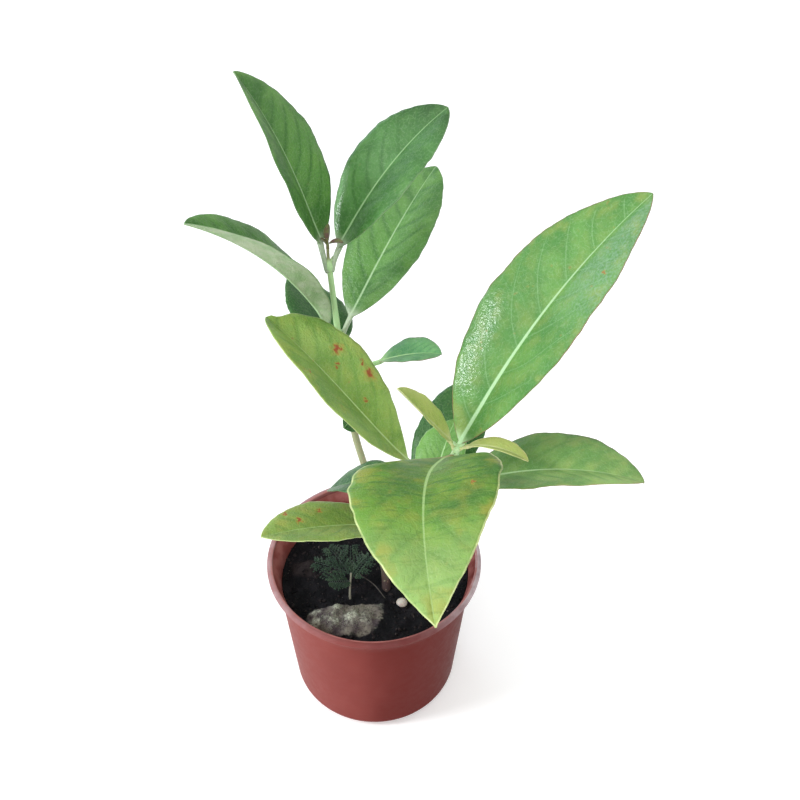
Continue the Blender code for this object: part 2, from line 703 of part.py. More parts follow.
def make_twig(material, ground):
    start, end = (Vector(point) for point in TWIG_ENDS)
    middle = (start + end) / 2 + Vector(TWIG_ARCH)
    path = smooth_path((start, middle, end), 3 * MM)
    radii = [TWIG_RADIUS * (1 - TWIG_TAPER * index / len(path)) for index in range(len(path))]
    return make_object("dry_twig", settle(tube(path, radii, 6), ground), material)


def ground_of(soil):
    bpy.context.view_layer.update()
    view = bpy.context.evaluated_depsgraph_get()
    return BVHTree.FromObject(soil, view)


def main():
    clear_scene()
    plastic = make_material("terracotta_plastic", (0.300, 0.085, 0.065), 0.45)
    earth = make_material("potting_soil", (0.022, 0.018, 0.016), 0.95)
    bark = make_material("young_bark", (0.170, 0.200, 0.085), 0.6)
    bud_skin = make_material("bud_skin", (0.120, 0.070, 0.040), 0.5)
    weed_green = make_material("weed_green", (0.035, 0.100, 0.040), 0.6)
    stone = make_material("white_stone", (0.620, 0.590, 0.550), 0.7)
    dry_stalk = make_material("dry_stalk", (0.190, 0.140, 0.095), 0.8)

    plant = bpy.data.objects.new("potted_viburnum", None)
    bpy.context.scene.collection.objects.link(plant)

    soil = make_soil(earth)
    cut(soil, trunk_hole())
    cut(soil, weed_hole())
    ground = ground_of(soil)
    pieces = [
        make_pot(plastic),
        soil,
        make_shoots(bark),
        make_bud(bud_skin),
        make_weed(weed_green),
        make_pebble(stone, ground),
        make_twig(dry_stalk, ground),
    ]
    for leaf in LEAVES:
        colour = LEAF_COLOURS.get(leaf.name, GREEN)
        pieces.append(make_leaf(leaf, make_material(leaf.name, colour, 0.4)))
    for piece in pieces:
        piece.parent = plant


main()
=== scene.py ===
import json
import math
from dataclasses import dataclass

import bpy
import numpy as np
from bpy.props import FloatProperty, FloatVectorProperty, IntProperty, PointerProperty
from mathutils import Matrix, Vector, noise

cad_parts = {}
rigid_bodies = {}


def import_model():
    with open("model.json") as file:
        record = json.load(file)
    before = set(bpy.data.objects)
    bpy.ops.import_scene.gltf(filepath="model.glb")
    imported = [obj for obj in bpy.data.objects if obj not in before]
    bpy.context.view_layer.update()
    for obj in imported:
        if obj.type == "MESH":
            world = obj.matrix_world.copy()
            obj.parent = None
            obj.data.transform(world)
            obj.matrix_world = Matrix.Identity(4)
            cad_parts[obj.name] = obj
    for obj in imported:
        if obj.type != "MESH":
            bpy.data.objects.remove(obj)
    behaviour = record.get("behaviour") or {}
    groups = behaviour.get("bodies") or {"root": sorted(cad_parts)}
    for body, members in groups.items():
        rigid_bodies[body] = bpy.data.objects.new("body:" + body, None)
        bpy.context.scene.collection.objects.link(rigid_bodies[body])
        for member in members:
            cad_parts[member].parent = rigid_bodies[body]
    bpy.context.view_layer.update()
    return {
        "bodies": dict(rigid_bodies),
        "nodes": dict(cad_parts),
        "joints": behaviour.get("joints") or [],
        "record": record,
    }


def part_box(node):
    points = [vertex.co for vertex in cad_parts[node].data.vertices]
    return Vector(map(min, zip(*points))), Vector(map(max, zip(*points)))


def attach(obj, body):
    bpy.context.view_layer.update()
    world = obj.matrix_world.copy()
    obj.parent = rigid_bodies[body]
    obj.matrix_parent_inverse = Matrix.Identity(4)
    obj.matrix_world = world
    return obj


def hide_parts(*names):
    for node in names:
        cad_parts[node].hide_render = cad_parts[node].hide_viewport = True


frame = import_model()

bl_info = {
    "name": "Potted viburnum",
    "version": (1, 0, 0),
    "blender": (4, 5, 0),
    "location": "3D View > Sidebar > Viburnum",
    "description": "Builds a young broad-leaved viburnum in its nursery pot",
    "category": "Object",
}

# Everything is in metres, +Z up, with the origin at the centre of the pot's underside.
# Lengths in the tables are in millimetres and angles in degrees.
BODY = "root"
MM = 0.001
# the share of a path's direction along X above which its sections start from Z
NEARLY_PARALLEL = 0.9


# Colours, nodes and meshes


def linear(hex_colour):
    """An sRGB hex colour as linear red, green, blue and alpha."""
    values = [int(hex_colour[i : i + 2], 16) / 255 for i in (1, 3, 5)]
    values = [v / 12.92 if v <= 0.04045 else ((v + 0.055) / 1.055) ** 2.4 for v in values]
    return (*values, 1.0)


def add(tree, kind, inputs=None, **settings):
    """Add a node, set its options, and fill its inputs with values or links."""
    item = tree.nodes.new(kind)
    for key, value in settings.items():
        setattr(item, key, value)
    for key, value in (inputs or {}).items():
        if isinstance(value, bpy.types.NodeSocket):
            tree.links.new(value, item.inputs[key])
        else:
            item.inputs[key].default_value = value
    return item


def new_material(name, **constants):
    """A node material as (material, tree, shader), with constants on the shader's own sockets."""
    material = bpy.data.materials.new(name)
    material.use_nodes = True
    shader = material.node_tree.nodes["Principled BSDF"]
    for label, value in constants.items():
        shader.inputs[label.replace("_", " ")].default_value = value
    return material, material.node_tree, shader


def connect(tree, shader, colour, roughness, height, depth):
    """Link a colour, a roughness and a relief height, whose full swing is depth metres."""
    bump = {"Strength": 1.0, "Distance": depth, "Height": height}
    bump = add(tree, "ShaderNodeBump", bump).outputs[0]
    links = {"Base Color": colour, "Roughness": roughness, "Normal": bump, "Coat Normal": bump}
    for label, source in links.items():
        tree.links.new(source, shader.inputs[label])


def fade(tree, *values):
    """The product of values: sockets, or (value, low, high, at low, at high) to ease between."""
    total = None
    for value in values:
        if isinstance(value, tuple):
            names = ("Value", "From Min", "From Max", "To Min", "To Max")
            ease = dict(zip(names, value))
            ease = add(tree, "ShaderNodeMapRange", ease, interpolation_type="SMOOTHSTEP")
            value = ease.outputs[0]
        if total is not None:
            both = {0: total, 1: value}
            value = add(tree, "ShaderNodeMath", both, operation="MULTIPLY").outputs[0]
        total = value
    return total


def plus(tree, total, *terms):
    """A value plus each (value, weight), the value times its weight."""
    for value, weight in terms:
        values = {0: value, 1: weight, 2: total}
        total = add(tree, "ShaderNodeMath", values, operation="MULTIPLY_ADD").outputs[0]
    return total


def layer(tree, under, over, *values):
    """One colour, a socket or sRGB hex, laid over another as thickly as the faded values say."""
    under, over = (linear(tint) if isinstance(tint, str) else tint for tint in (under, over))
    inputs = {"Factor": fade(tree, *values), 6: under, 7: over}
    return add(tree, "ShaderNodeMix", inputs, data_type="RGBA").outputs[2]


def grain(tree, place, size, detail=3.0, stretch=(1, 1, 1)):
    """Noise from 0 to 1 whose lumps are about size metres across."""
    scaled = add(tree, "ShaderNodeMapping", {"Vector": place, "Scale": stretch}).outputs[0]
    values = {"Vector": scaled, "Scale": 1 / size, "Detail": detail, "Roughness": 0.55}
    return add(tree, "ShaderNodeTexNoise", values).outputs[0]


def mottled_material(name, first, second, patch, fine, roughness, relief, **constants):
    """Two colours in patches of (size, detail, low, high), under a fine grain of (size, detail)."""
    material, tree, shader = new_material(name, **constants)
    place = add(tree, "ShaderNodeTexCoord").outputs["Object"]
    size, detail, low, high = patch
    body = layer(tree, first, second, (grain(tree, place, size, detail), low, high))
    bumps = grain(tree, place, *fine)
    connect(tree, shader, body, fade(tree, (bumps, 0.3, 0.7, *roughness)), bumps, relief)
    return material


class Parts:
    """Closed meshes that become one object, with three numbers a point in each attribute."""

    def __init__(self, *names):
        self.points = []
        self.faces = []
        self.values = {name: [] for name in names}
        self.count = 0

    def add(self, points, faces, **values):
        points = np.asarray(points, float).reshape(-1, 3)
        self.points.append(points)
        self.faces += [[corner + self.count for corner in face] for face in faces]
        self.count += len(points)
        for name, store in self.values.items():
            given = np.asarray(values.get(name, (0, 0, 0)), float)
            store.append(np.broadcast_to(given, (len(points), 3)))

    def to_object(self, name, material, sharp_angle=None):
        mesh = bpy.data.meshes.new(name)
        mesh.from_pydata(np.vstack(self.points).tolist(), [], self.faces)
        for label, store in self.values.items():
            stored = mesh.attributes.new(label, "FLOAT_VECTOR", "POINT")
            stored.data.foreach_set("vector", np.vstack(store).astype(np.float32).ravel())
        mesh.materials.append(material)
        mesh.shade_smooth()
        if sharp_angle:
            mesh.set_sharp_from_angle(angle=math.radians(sharp_angle))
        mesh.update()
        item = bpy.data.objects.new(name, mesh)
        bpy.context.scene.collection.objects.link(item)
        return item


def loft(rings):
    """Points and faces that bridge closed rings of equal length, with both ends capped."""
    count = len(rings[0])
    faces = []
    for row in range(len(rings) - 1):
        for index in range(count):
            after = (index + 1) % count
            low, high = row * count, (row + 1) * count
            faces.append((low + index, low + after, high + after, high + index))
    last = (len(rings) - 1) * count
    faces.append(tuple(reversed(range(count))))
    faces.append(tuple(range(last, last + count)))
    return np.vstack(rings), faces


def turned_rings(profile, segments):
    """Rings round the Z axis for each (radius, height) of a profile."""
    angles = np.arange(segments) * 2 * math.pi / segments
    across, deep = np.cos(angles), np.sin(angles)
    return [
        np.column_stack((radius * across, radius * deep, np.full(segments, height)))
        for radius, height in profile
    ]


def smooth_path(points, step):
    """Points in metres along a Catmull-Rom curve through points given in millimetres."""
    knots = [Vector(point) * MM for point in points]
    knots = [knots[0] * 2 - knots[1], *knots, knots[-1] * 2 - knots[-2]]
    path = [knots[1]]
    for before, start, end, after in zip(knots, knots[1:], knots[2:], knots[3:]):
        count = max(1, math.ceil((end - start).length / step))
        for index in range(1, count + 1):
            t = index / count
            path.append(
                start * (2 * t**3 - 3 * t**2 + 1)
                + (end - before) / 2 * (t**3 - 2 * t**2 + t)
                + end * (3 * t**2 - 2 * t**3)
                + (after - start) / 2 * (t**3 - t**2)
            )
    return path


def tube_rings(path, radii, sides):
    """Round sections across a path, turned as little as possible from one to the next."""
    angles = np.arange(sides) * 2 * math.pi / sides
    along_x = abs((path[-1] - path[0]).normalized().x) >= NEARLY_PARALLEL
    side = Vector((0, 0, 1) if along_x else (1, 0, 0))
    rings = []
    for index, (point, radius) in enumerate(zip(path, radii)):
        behind, ahead = path[max(index - 1, 0)], path[min(index + 1, len(path) - 1)]
        along = (ahead - behind).normalized()
        side = (side - along * side.dot(along)).normalized()
        spokes = np.outer(np.cos(angles), side) + np.outer(np.sin(angles), along.cross(side))
        rings.append(np.array(point) + spokes * radius)
    return rings


def finish_piece(item, slot, *nodes):
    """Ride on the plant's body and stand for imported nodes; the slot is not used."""
    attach(item, BODY)
    if nodes:
        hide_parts(*nodes)
    return item


def geometry_tree(name, **sizes):
    """A geometry tree with one named number input for each size, as (tree, its input node)."""
    tree = bpy.data.node_groups.new(name, "GeometryNodeTree")
    tree.interface.new_socket("Geometry", in_out="INPUT", socket_type="NodeSocketGeometry")
    for label, value in sizes.items():
        title = label.replace("_", " ").capitalize()
        socket = tree.interface.new_socket(title, in_out="INPUT", socket_type="NodeSocketFloat")
        socket.default_value = value
    tree.interface.new_socket("Geometry", in_out="OUTPUT", socket_type="NodeSocketGeometry")
    return tree, tree.nodes.new("NodeGroupInput")


def run_geometry(source, tree, name, **sizes):
    """Run a tree on a copy of an object and keep the result as a plain mesh."""
    item = bpy.data.objects.new(name, source.data.copy())
    bpy.context.scene.collection.objects.link(item)
    modifier = item.modifiers.new(tree.name, "NODES")
    modifier.node_group = tree
    for socket in tree.interface.items_tree:
        label = socket.name.lower().replace(" ", "_")
        if socket.in_out == "INPUT" and label in sizes:
            modifier[socket.identifier] = sizes[label]
    view = bpy.context.evaluated_depsgraph_get()
    mesh = bpy.data.meshes.new_from_object(item.evaluated_get(view))
    if not mesh.polygons:
        raise RuntimeError(f"the geometry tree made nothing for {name}")
    item.modifiers.remove(modifier)
    item.data = mesh
    return item


def end_tree(tree, instances, material):
    """Close a tree: real geometry, smooth, with its material."""
    real = add(tree, "GeometryNodeRealizeInstances", {"Geometry": instances}).outputs[0]
    smooth = add(tree, "GeometryNodeSetShadeSmooth", {"Geometry": real}).outputs[0]
    last = add(tree, "GeometryNodeSetMaterial", {"Geometry": smooth, "Material": material})
    add(tree, "NodeGroupOutput", {"Geometry": last.outputs[0]})


def length(name, text, default):
    return FloatProperty(
        name=name, description=text, default=default, min=0.0, precision=5, unit="LENGTH"
    )


def colour(name, text, hex_colour):
    return FloatVectorProperty(
        name=name, description=text, default=linear(hex_colour), size=4, min=0, max=1,
        subtype="COLOR",
    )


# The pot


class PotSettings(bpy.types.PropertyGroup):
    neck_radius: length("Neck radius", "Outer radius just under the flare to the lip", 54.3 * MM)
    foot_radius: length(
        "Foot radius", "Outer radius where the wall meets the rounded foot", 48.1 * MM
    )
    corner_radius: length("Foot rounding", "Radius of the rounded edge round the foot", 7.5 * MM)
    lip_radius: length("Lip rounding", "Radius of the rolled lip", 1.9 * MM)
    flare_height: length(
        "Flare height", "Height of the flare, measured to the top of the lip", 15 * MM
    )
    wall: length("Wall", "Thickness of the wall", 1.4 * MM)
    floor: length("Floor", "Thickness of the floor", 1.8 * MM)
    drain_holes: IntProperty(name="Drain holes", description="Holes in the floor", default=6, min=0)
    drain_radius: length("Drain hole radius", "Radius of each hole in the floor", 4.5 * MM)
    drain_circle: length("Drain circle", "Radius of the circle that the holes lie on", 30 * MM)
    # painted light and shade: the next two colours are the lit -X side and the shaded +X side
    plastic: colour("Plastic", "Colour of the moulded plastic on its faded side", "#843d37")
    shaded_side_plastic: colour("Deep plastic", "Colour of the plastic on its darker side", "#5f1a14")
    # painted sheen: the pale mauve colour laid on the top of the lip
    lip_sheen: colour("Scuffed plastic", "Colour where handling has dulled it", "#ab8c8d")
    film: colour("Film", "Colour of the lime and dried soil inside the rim", "#a86a64")


# where the wall runs into the rounding of the lip, as an angle below its centre
LIP_START = -45
INNER_EDGE = 0.8 * MM
POT_SEGMENTS = 160
HOLE_SEGMENTS = 36
# the heights between which each drain hole is cut
CUTTER_ENDS = (-5 * MM, 6 * MM)
# the sides, heights and depths between which the plastic goes from one colour to the next:
# painted shade that darkens the +X side, and a painted sheen on the top of the lip, paler to +X
LIT_TO_SHADED_SIDE = (-20 * MM, 40 * MM)
SHADE_EDGE_DRIFT = 40 * MM
LIP_SHEEN_HEIGHTS = (94.2 * MM, 97.0 * MM)
LIP_SHEEN_DEPTHS = (-58 * MM, -25 * MM)
LIP_SHEEN_SIDES = (0.0, 50 * MM)


class PotShape:
    """The outline of the pot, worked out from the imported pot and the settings."""

    def __init__(self, settings):
        low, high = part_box("pot")
        self.rim = (high.x - low.x) / 2
        self.top = high.z
        self.lip = settings.lip_radius
        self.corner = settings.corner_radius
        self.foot = settings.foot_radius
        self.wall = settings.wall
        self.floor = settings.floor
        self.neck = self.top - settings.flare_height
        self.lean = (settings.neck_radius - self.foot) / (self.neck - self.corner)
        down = math.radians(LIP_START)
        self.lip_bottom = self.top - self.lip + self.lip * math.sin(down)
        self.reach = self.rim - self.lip + self.lip * math.cos(down)
        self.reach -= self.foot + self.lean * (self.lip_bottom - self.corner)
        # the power that makes the flare meet the lip at the lip's own slope
        self.power = (math.tan(-down) - self.lean) * (self.lip_bottom - self.neck) / self.reach

    def radius(self, height):
        """Outer radius of the wall at a height, below the lip."""
        flare = max(0.0, (height - self.neck) / (self.lip_bottom - self.neck))
        return self.foot + self.lean * (height - self.corner) + flare**self.power * self.reach


def arc(centre, radius, start, end, count):
    """Points on a circle in the (radius, height) plane, angles in degrees."""
    turns = np.radians(np.linspace(start, end, count + 1))
    return [(centre[0] + radius * math.cos(a), centre[1] + radius * math.sin(a)) for a in turns]


def pot_material(settings):
    """Polypropylene, moulded with a fine satin texture: a soft wide highlight, painted shade that
    darkens its +X side, and a painted sheen on the top of its lip.
    """
    material, tree, shader = new_material(
        "polypropylene_terracotta", IOR=1.49, Specular_IOR_Level=0.045
    )
    coordinates = add(tree, "ShaderNodeTexCoord").outputs
    place = coordinates["Object"]
    x, y, height = add(tree, "ShaderNodeSeparateXYZ", {0: place}).outputs
    # painted shade: the +X side darker and the -X side lighter, as if lit from -X,
    # with a soft uneven change from one to the other
    shade_edge_noise = grain(tree, place, 30 * MM, 2.0, (1, 1, 0.5))
    side = plus(tree, x, (shade_edge_noise, SHADE_EDGE_DRIFT))
    body = layer(tree, settings.plastic, settings.shaded_side_plastic, (side, *LIT_TO_SHADED_SIDE))
    # painted sheen: a mottled pale mauve band on the lip top, weakest at the front, paler to +X
    worn = grain(tree, place, 7 * MM, 5.0)
    lip = layer(tree, settings.lip_sheen, "#cdbcbf", (x, *LIP_SHEEN_SIDES))
    lip_sheen_mask = (height, *LIP_SHEEN_HEIGHTS), (worn, 0.25, 0.7, 0.55, 0.95), (y, *LIP_SHEEN_DEPTHS, 0.15, 1.0)
    body = layer(tree, body, lip, *lip_sheen_mask)
    # the inner wall is where the surface faces the pot's axis
    round_pot = add(tree, "ShaderNodeCombineXYZ", {0: x, 1: y}).outputs[0]
    facing = {0: coordinates["Normal"], 1: round_pot}
    facing = add(tree, "ShaderNodeVectorMath", facing, operation="DOT_PRODUCT").outputs["Value"]
    inside = add(tree, "ShaderNodeMath", {0: facing, 1: 0.0}, operation="LESS_THAN").outputs[0]
    film = grain(tree, place, 9 * MM, 4.0)
    body = layer(tree, body, settings.film, inside, (film, 0.35, 0.65, 0.25, 0.95))
    specks = grain(tree, place, 1.1 * MM, 2.0)
    body = layer(tree, body, "#5f2f2c", (specks, 0.70, 0.76, 0.0, 0.3))
    satin = fade(tree, (grain(tree, place, 4 * MM, 4.0), 0.3, 0.7, 0.40, 0.47))
    pebbled = grain(tree, place, 0.35 * MM, 2.0)
    connect(tree, shader, body, satin, pebbled, 0.02 * MM)
    return material


class VIBURNUM_OT_pot(bpy.types.Operator):
    """Turn the nursery pot from its outline and cut its drain holes"""

    bl_idname = "viburnum.pot"
    bl_label = "Pot"

    def execute(self, context):
        settings = context.scene.viburnum_pot
        pot = PotShape(settings)
        corner = (pot.foot - pot.corner, pot.corner)
        straight = np.linspace(pot.corner, pot.neck, 6)[1:]
        flare = np.linspace(pot.neck, pot.lip_bottom, 17)[1:-1]
        heights = [*straight, *flare]
        profile = arc(corner, pot.corner, -90, 0, 12)
        profile += [(pot.radius(z), z) for z in heights]
        profile += arc((pot.rim - pot.lip, pot.top - pot.lip), pot.lip, LIP_START, 90, 14)
        inside = pot.rim - pot.lip - pot.wall
        profile += arc((inside + INNER_EDGE, pot.top - INNER_EDGE), INNER_EDGE, 90, 180, 5)
        profile += [(pot.radius(z) - pot.wall, z) for z in reversed(heights)]
        profile += arc(corner, pot.corner - pot.wall, 0, -60, 8)
        profile += [(corner[0], pot.floor)]
        parts = Parts()
        parts.add(*loft(turned_rings(profile, POT_SEGMENTS)))
        item = parts.to_object("nursery_pot", pot_material(settings), sharp_angle=40)
        cutters = []
        for index in range(settings.drain_holes):
            angle = 2 * math.pi * index / settings.drain_holes
            centre = np.array((math.cos(angle), math.sin(angle), 0)) * settings.drain_circle
            hole = Parts()
            ends = [(settings.drain_radius, z) for z in CUTTER_ENDS]
            hole.add(*loft([ring + centre for ring in turned_rings(ends, HOLE_SEGMENTS)]))
            cutters.append(hole.to_object(f"hole_{index}", item.data.materials[0]))
            modifier = item.modifiers.new("hole", "BOOLEAN")
            modifier.object = cutters[-1]
        view = context.evaluated_depsgraph_get()
        mesh = bpy.data.meshes.new_from_object(item.evaluated_get(view))
        item.modifiers.clear()
        item.data = mesh
        for cutter in cutters:
            bpy.data.objects.remove(cutter)
        finish_piece(item, "pot_plastic", "pot")
        return {"FINISHED"}


# The soil


SOIL_TOP = 83.5 * MM
SOIL_RIPPLE = 0.7 * MM
RIPPLE_WAVES = (290, 260, 520)
SOIL_TILT = 3 * MM
SOIL_HIGH_SIDE = -40
SOIL_EDGE_STEEPNESS = 8
# centre x, centre y, half width, half depth and height of each lump; the first is mossy and the
# second brown
SOIL_LUMPS = (
    (-18, -33, 20, 10, 6.0),
    (-40, 6, 7, 6, 3.5),
    (26, 14, 12, 9, 2.5),
    (-12, 28, 14, 10, 2.5),
    (33, -22, 8, 9, 1.8),
    (2, -40, 9, 5, 1.6),
)
SOIL_SEGMENTS = 240
SOIL_RINGS = 96
CLOD_EDGE_STEEPNESS = 12
CRUMB_UNEVENNESS = 0.7 * MM
FIT_GAP = 0.3 * MM


class SoilSettings(bpy.types.PropertyGroup):
    roughness: length("Roughness", "Height of the small clods all over the soil", 1.1 * MM)
    knob_height: length("Knob height", "Height of the knobs on the mossy clod", 2.8 * MM)
    earth: colour("Earth", "Colour of the damp peaty soil", "#06070a")
    dry_earth: colour("Dry earth", "Colour of the soil where it has dried", "#19171b")
    crumb: colour("Crumbs", "Colour of the brown crumbs and bark bits", "#2b2424")
    clod: colour("Clod", "Colour of the mossy clod", "#7b756a")
    lichen: colour("Lichen", "Colour of the pale crust on the clod", "#b4b7a4")
    moss: colour("Moss", "Colour of the moss tufts", "#565c48")
    crumb_size: length("Crumb size", "Radius of the largest crumbs", 1.5 * MM)
    crumbs: FloatProperty(
        name="Crumbs", description="Crumbs on each square metre", default=170000, min=0
    )
    moss_height: length("Moss height", "Height of the moss tufts", 0.9 * MM)
    tufts: FloatProperty(
        name="Tufts", description="Moss tufts on each square metre", default=0.7e6, min=0
    )


def lump_shares(x, y):
    """How much each lump counts at a place, from 0 to 1."""
    shares = []
    for centre_x, centre_y, half_width, half_depth, _ in SOIL_LUMPS:
        across, deep = (x / MM - centre_x) / half_width, (y / MM - centre_y) / half_depth
        shares.append(math.exp(-(across**4) - deep**4))
    return shares


def soil_height(x, y, reach, shares):
    """Height of the soil's surface, which leans to one side and goes smooth towards its edge."""
    high = math.radians(SOIL_HIGH_SIDE)
    plane = SOIL_TOP + SOIL_TILT * (x * math.cos(high) + y * math.sin(high)) / reach
    lumps = sum(lump[4] * MM * share for lump, share in zip(SOIL_LUMPS, shares))
    long, broad, short = RIPPLE_WAVES
    ripple = math.sin(long * x + 1.3) * math.cos(broad * y) + math.sin(short * (x - y)) / 2
    edge = min(1.0, max(0.0, 1 - math.hypot(x, y) / reach) * SOIL_EDGE_STEEPNESS)
    return plane + (lumps + SOIL_RIPPLE * ripple) * edge


def clods(x, y, shares, settings):
    """Height of the small clods, and how far the mossy lump's knobs stand up, from -1 to 1."""
    spot = Vector((x, y, 9 * MM))
    rough = noise.fractal(spot / (7 * MM), 0.6, 2.1, 5) * settings.roughness
    knob = 1.8 * (0.42 - noise.voronoi(spot / (9 * MM))[0][0])
    knob += 0.45 * noise.noise(spot / (3.5 * MM)) + 0.25 * noise.noise(spot / (1.5 * MM))
    return rough + knob * settings.knob_height * shares[0], knob


def soil_reach(pot, angle):
    """Outer radius of the soil at an angle round the pot, one gap from the wall."""
    edge = SOIL_TOP + SOIL_TILT * math.cos(angle - math.radians(SOIL_HIGH_SIDE))
    return pot.radius(edge) - pot.wall - FIT_GAP


def soil_material(settings):
    """Peaty potting compost: matt, near black when damp, with pale lichen on one clod."""
    material, tree, shader = new_material("potting_compost", IOR=1.4, Specular_IOR_Level=0.3)
    place = add(tree, "ShaderNodeTexCoord").outputs["Object"]
    kind = add(tree, "ShaderNodeAttribute", attribute_name="ground").outputs["Vector"]
    kind = add(tree, "ShaderNodeSeparateXYZ", {0: kind}).outputs
    coarse = grain(tree, place, 9 * MM, 5.0)
    fine = grain(tree, place, 1.6 * MM, 4.0)
    body = layer(tree, settings.earth, settings.dry_earth, (coarse, 0.42, 0.7))
    body = layer(tree, body, settings.crumb, (fine, 0.58, 0.72, 0.0, 0.7))
    clod = layer(tree, settings.clod, "#51474a", (grain(tree, place, 11 * MM, 3.0), 0.42, 0.66))
    high = plus(tree, kind[2], (grain(tree, place, 6 * MM, 4.0), 0.7))
    clod = layer(tree, clod, settings.lichen, (high, 1.28, 1.50), (fine, 0.3, 0.6, 0.3))
    grit = grain(tree, place, 1.1 * MM, 3.0)
    clod = layer(tree, clod, "#35302c", (grit, 0.50, 0.66, 0.0, 0.7))
    ragged = plus(tree, kind[0], (coarse, 0.9))
    body = layer(tree, body, clod, (ragged, 0.75, 0.92))
    body = layer(tree, body, settings.crumb, (kind[1], 0.2, 0.7, 0.0, 0.8))
    connect(tree, shader, body, fade(tree, (fine, 0.3, 0.7, 0.78, 0.98)), fine, 0.5 * MM)
    return material


def crumb_material(settings):
    """Bits of peat, bark and grit: matt, each a little browner or greyer than the next."""
    material, tree, shader = new_material("peat_crumbs", IOR=1.4, Specular_IOR_Level=0.3)
    place = add(tree, "ShaderNodeTexCoord").outputs["Object"]
    patch = grain(tree, place, 4 * MM, 3.0)
    fine = grain(tree, place, 0.7 * MM, 3.0)
    body = layer(tree, settings.earth, settings.crumb, (patch, 0.40, 0.62))
    body = layer(tree, body, "#6b645f", (patch, 0.64, 0.68, 0.0, 0.7))
    body = layer(tree, body, "#0f0f11", (fine, 0.4, 0.8, 0.0, 0.4))
    connect(tree, shader, body, fade(tree, (fine, 0.3, 0.7, 0.75, 0.95)), fine, 0.2 * MM)
    return material


def moss_material(settings):
    """Moss: soft and matt, greyer in patches."""
    material, tree, shader = new_material("moss_tufts", Specular_IOR_Level=0.25, Sheen_Weight=0.3)
    place = add(tree, "ShaderNodeTexCoord").outputs["Object"]
    patch = grain(tree, place, 5 * MM, 3.0)
    body = layer(tree, settings.moss, "#878b74", (patch, 0.35, 0.65))
    fine = grain(tree, place, 0.5 * MM, 2.0)
    connect(tree, shader, body, fade(tree, (patch, 0.3, 0.7, 0.7, 0.95)), fine, 0.1 * MM)
    return material


def scatter_tree(name, seed, axis, low, high, **sizes):
    """Spots on faces where one number of the ground attribute lies between low and high."""
    tree, start = geometry_tree(name, **sizes)
    ground, form = {"Name": "ground"}, "FLOAT_VECTOR"
    ground = add(tree, "GeometryNodeInputNamedAttribute", ground, data_type=form).outputs[0]
    kind = add(tree, "ShaderNodeSeparateXYZ", {0: ground}).outputs[axis]
    above = add(tree, "FunctionNodeCompare", {0: kind, 1: low}, operation="GREATER_THAN").outputs[0]
    below = add(tree, "FunctionNodeCompare", {0: kind, 1: high}, operation="LESS_THAN").outputs[0]
    chosen = add(tree, "FunctionNodeBooleanMath", {0: above, 1: below}, operation="AND").outputs[0]
    values = {"Mesh": start.outputs[0], "Selection": chosen, "Seed": seed}
    values["Density"] = start.outputs["Density"]
    spots = add(tree, "GeometryNodeDistributePointsOnFaces", values, distribute_method="RANDOM")
    return tree, start, spots.outputs


def crumb_tree(material):
    """Small uneven lumps, most of them near the smallest size."""
    tree, start, spots = scatter_tree(
        "crumbs", 7, 0, -1.0, 0.3, density=1e5, size=MM, unevenness=MM
    )
    ball = add(tree, "GeometryNodeMeshIcoSphere", {"Radius": 1.0, "Subdivisions": 1}).outputs[0]
    chance = {2: 0.0, 3: 1.0, "Seed": 3}
    chance = add(tree, "FunctionNodeRandomValue", chance, data_type="FLOAT").outputs[1]
    small = add(tree, "ShaderNodeMath", {0: chance, 1: 3.0}, operation="POWER").outputs[0]
    share = add(tree, "ShaderNodeMapRange", {0: small, 3: 0.22, 4: 1.0}).outputs[0]
    size = {0: share, 1: start.outputs["Size"]}
    size = add(tree, "ShaderNodeMath", size, operation="MULTIPLY").outputs[0]
    ends = {0: (0.7, 0.5, 0.35), 1: (1.4, 1.0, 0.8), "Seed": 11}
    shape = add(tree, "FunctionNodeRandomValue", ends, data_type="FLOAT_VECTOR").outputs[0]
    scale = {0: shape, "Scale": size}
    scale = add(tree, "ShaderNodeVectorMath", scale, operation="SCALE").outputs[0]
    turns = {0: (0, 0, 0), 1: (0.9, 0.9, math.tau), "Seed": 5}
    turn = add(tree, "FunctionNodeRandomValue", turns, data_type="FLOAT_VECTOR").outputs[0]
    values = {"Points": spots[0], "Instance": ball, "Rotation": turn, "Scale": scale}
    bits = add(tree, "GeometryNodeInstanceOnPoints", values).outputs[0]
    real = add(tree, "GeometryNodeRealizeInstances", {0: bits}).outputs[0]
    lumps = add(tree, "ShaderNodeTexNoise", {"Scale": 0.8 / MM, "Detail": 1.0}).outputs[1]
    lumps = {0: lumps, 1: (0.5, 0.5, 0.5)}
    lumps = add(tree, "ShaderNodeVectorMath", lumps, operation="SUBTRACT").outputs[0]
    offset = {0: lumps, "Scale": start.outputs["Unevenness"]}
    offset = add(tree, "ShaderNodeVectorMath", offset, operation="SCALE").outputs[0]
    shaped = add(tree, "GeometryNodeSetPosition", {"Geometry": real, "Offset": offset}).outputs[0]
    end_tree(tree, shaped, material)
    return tree


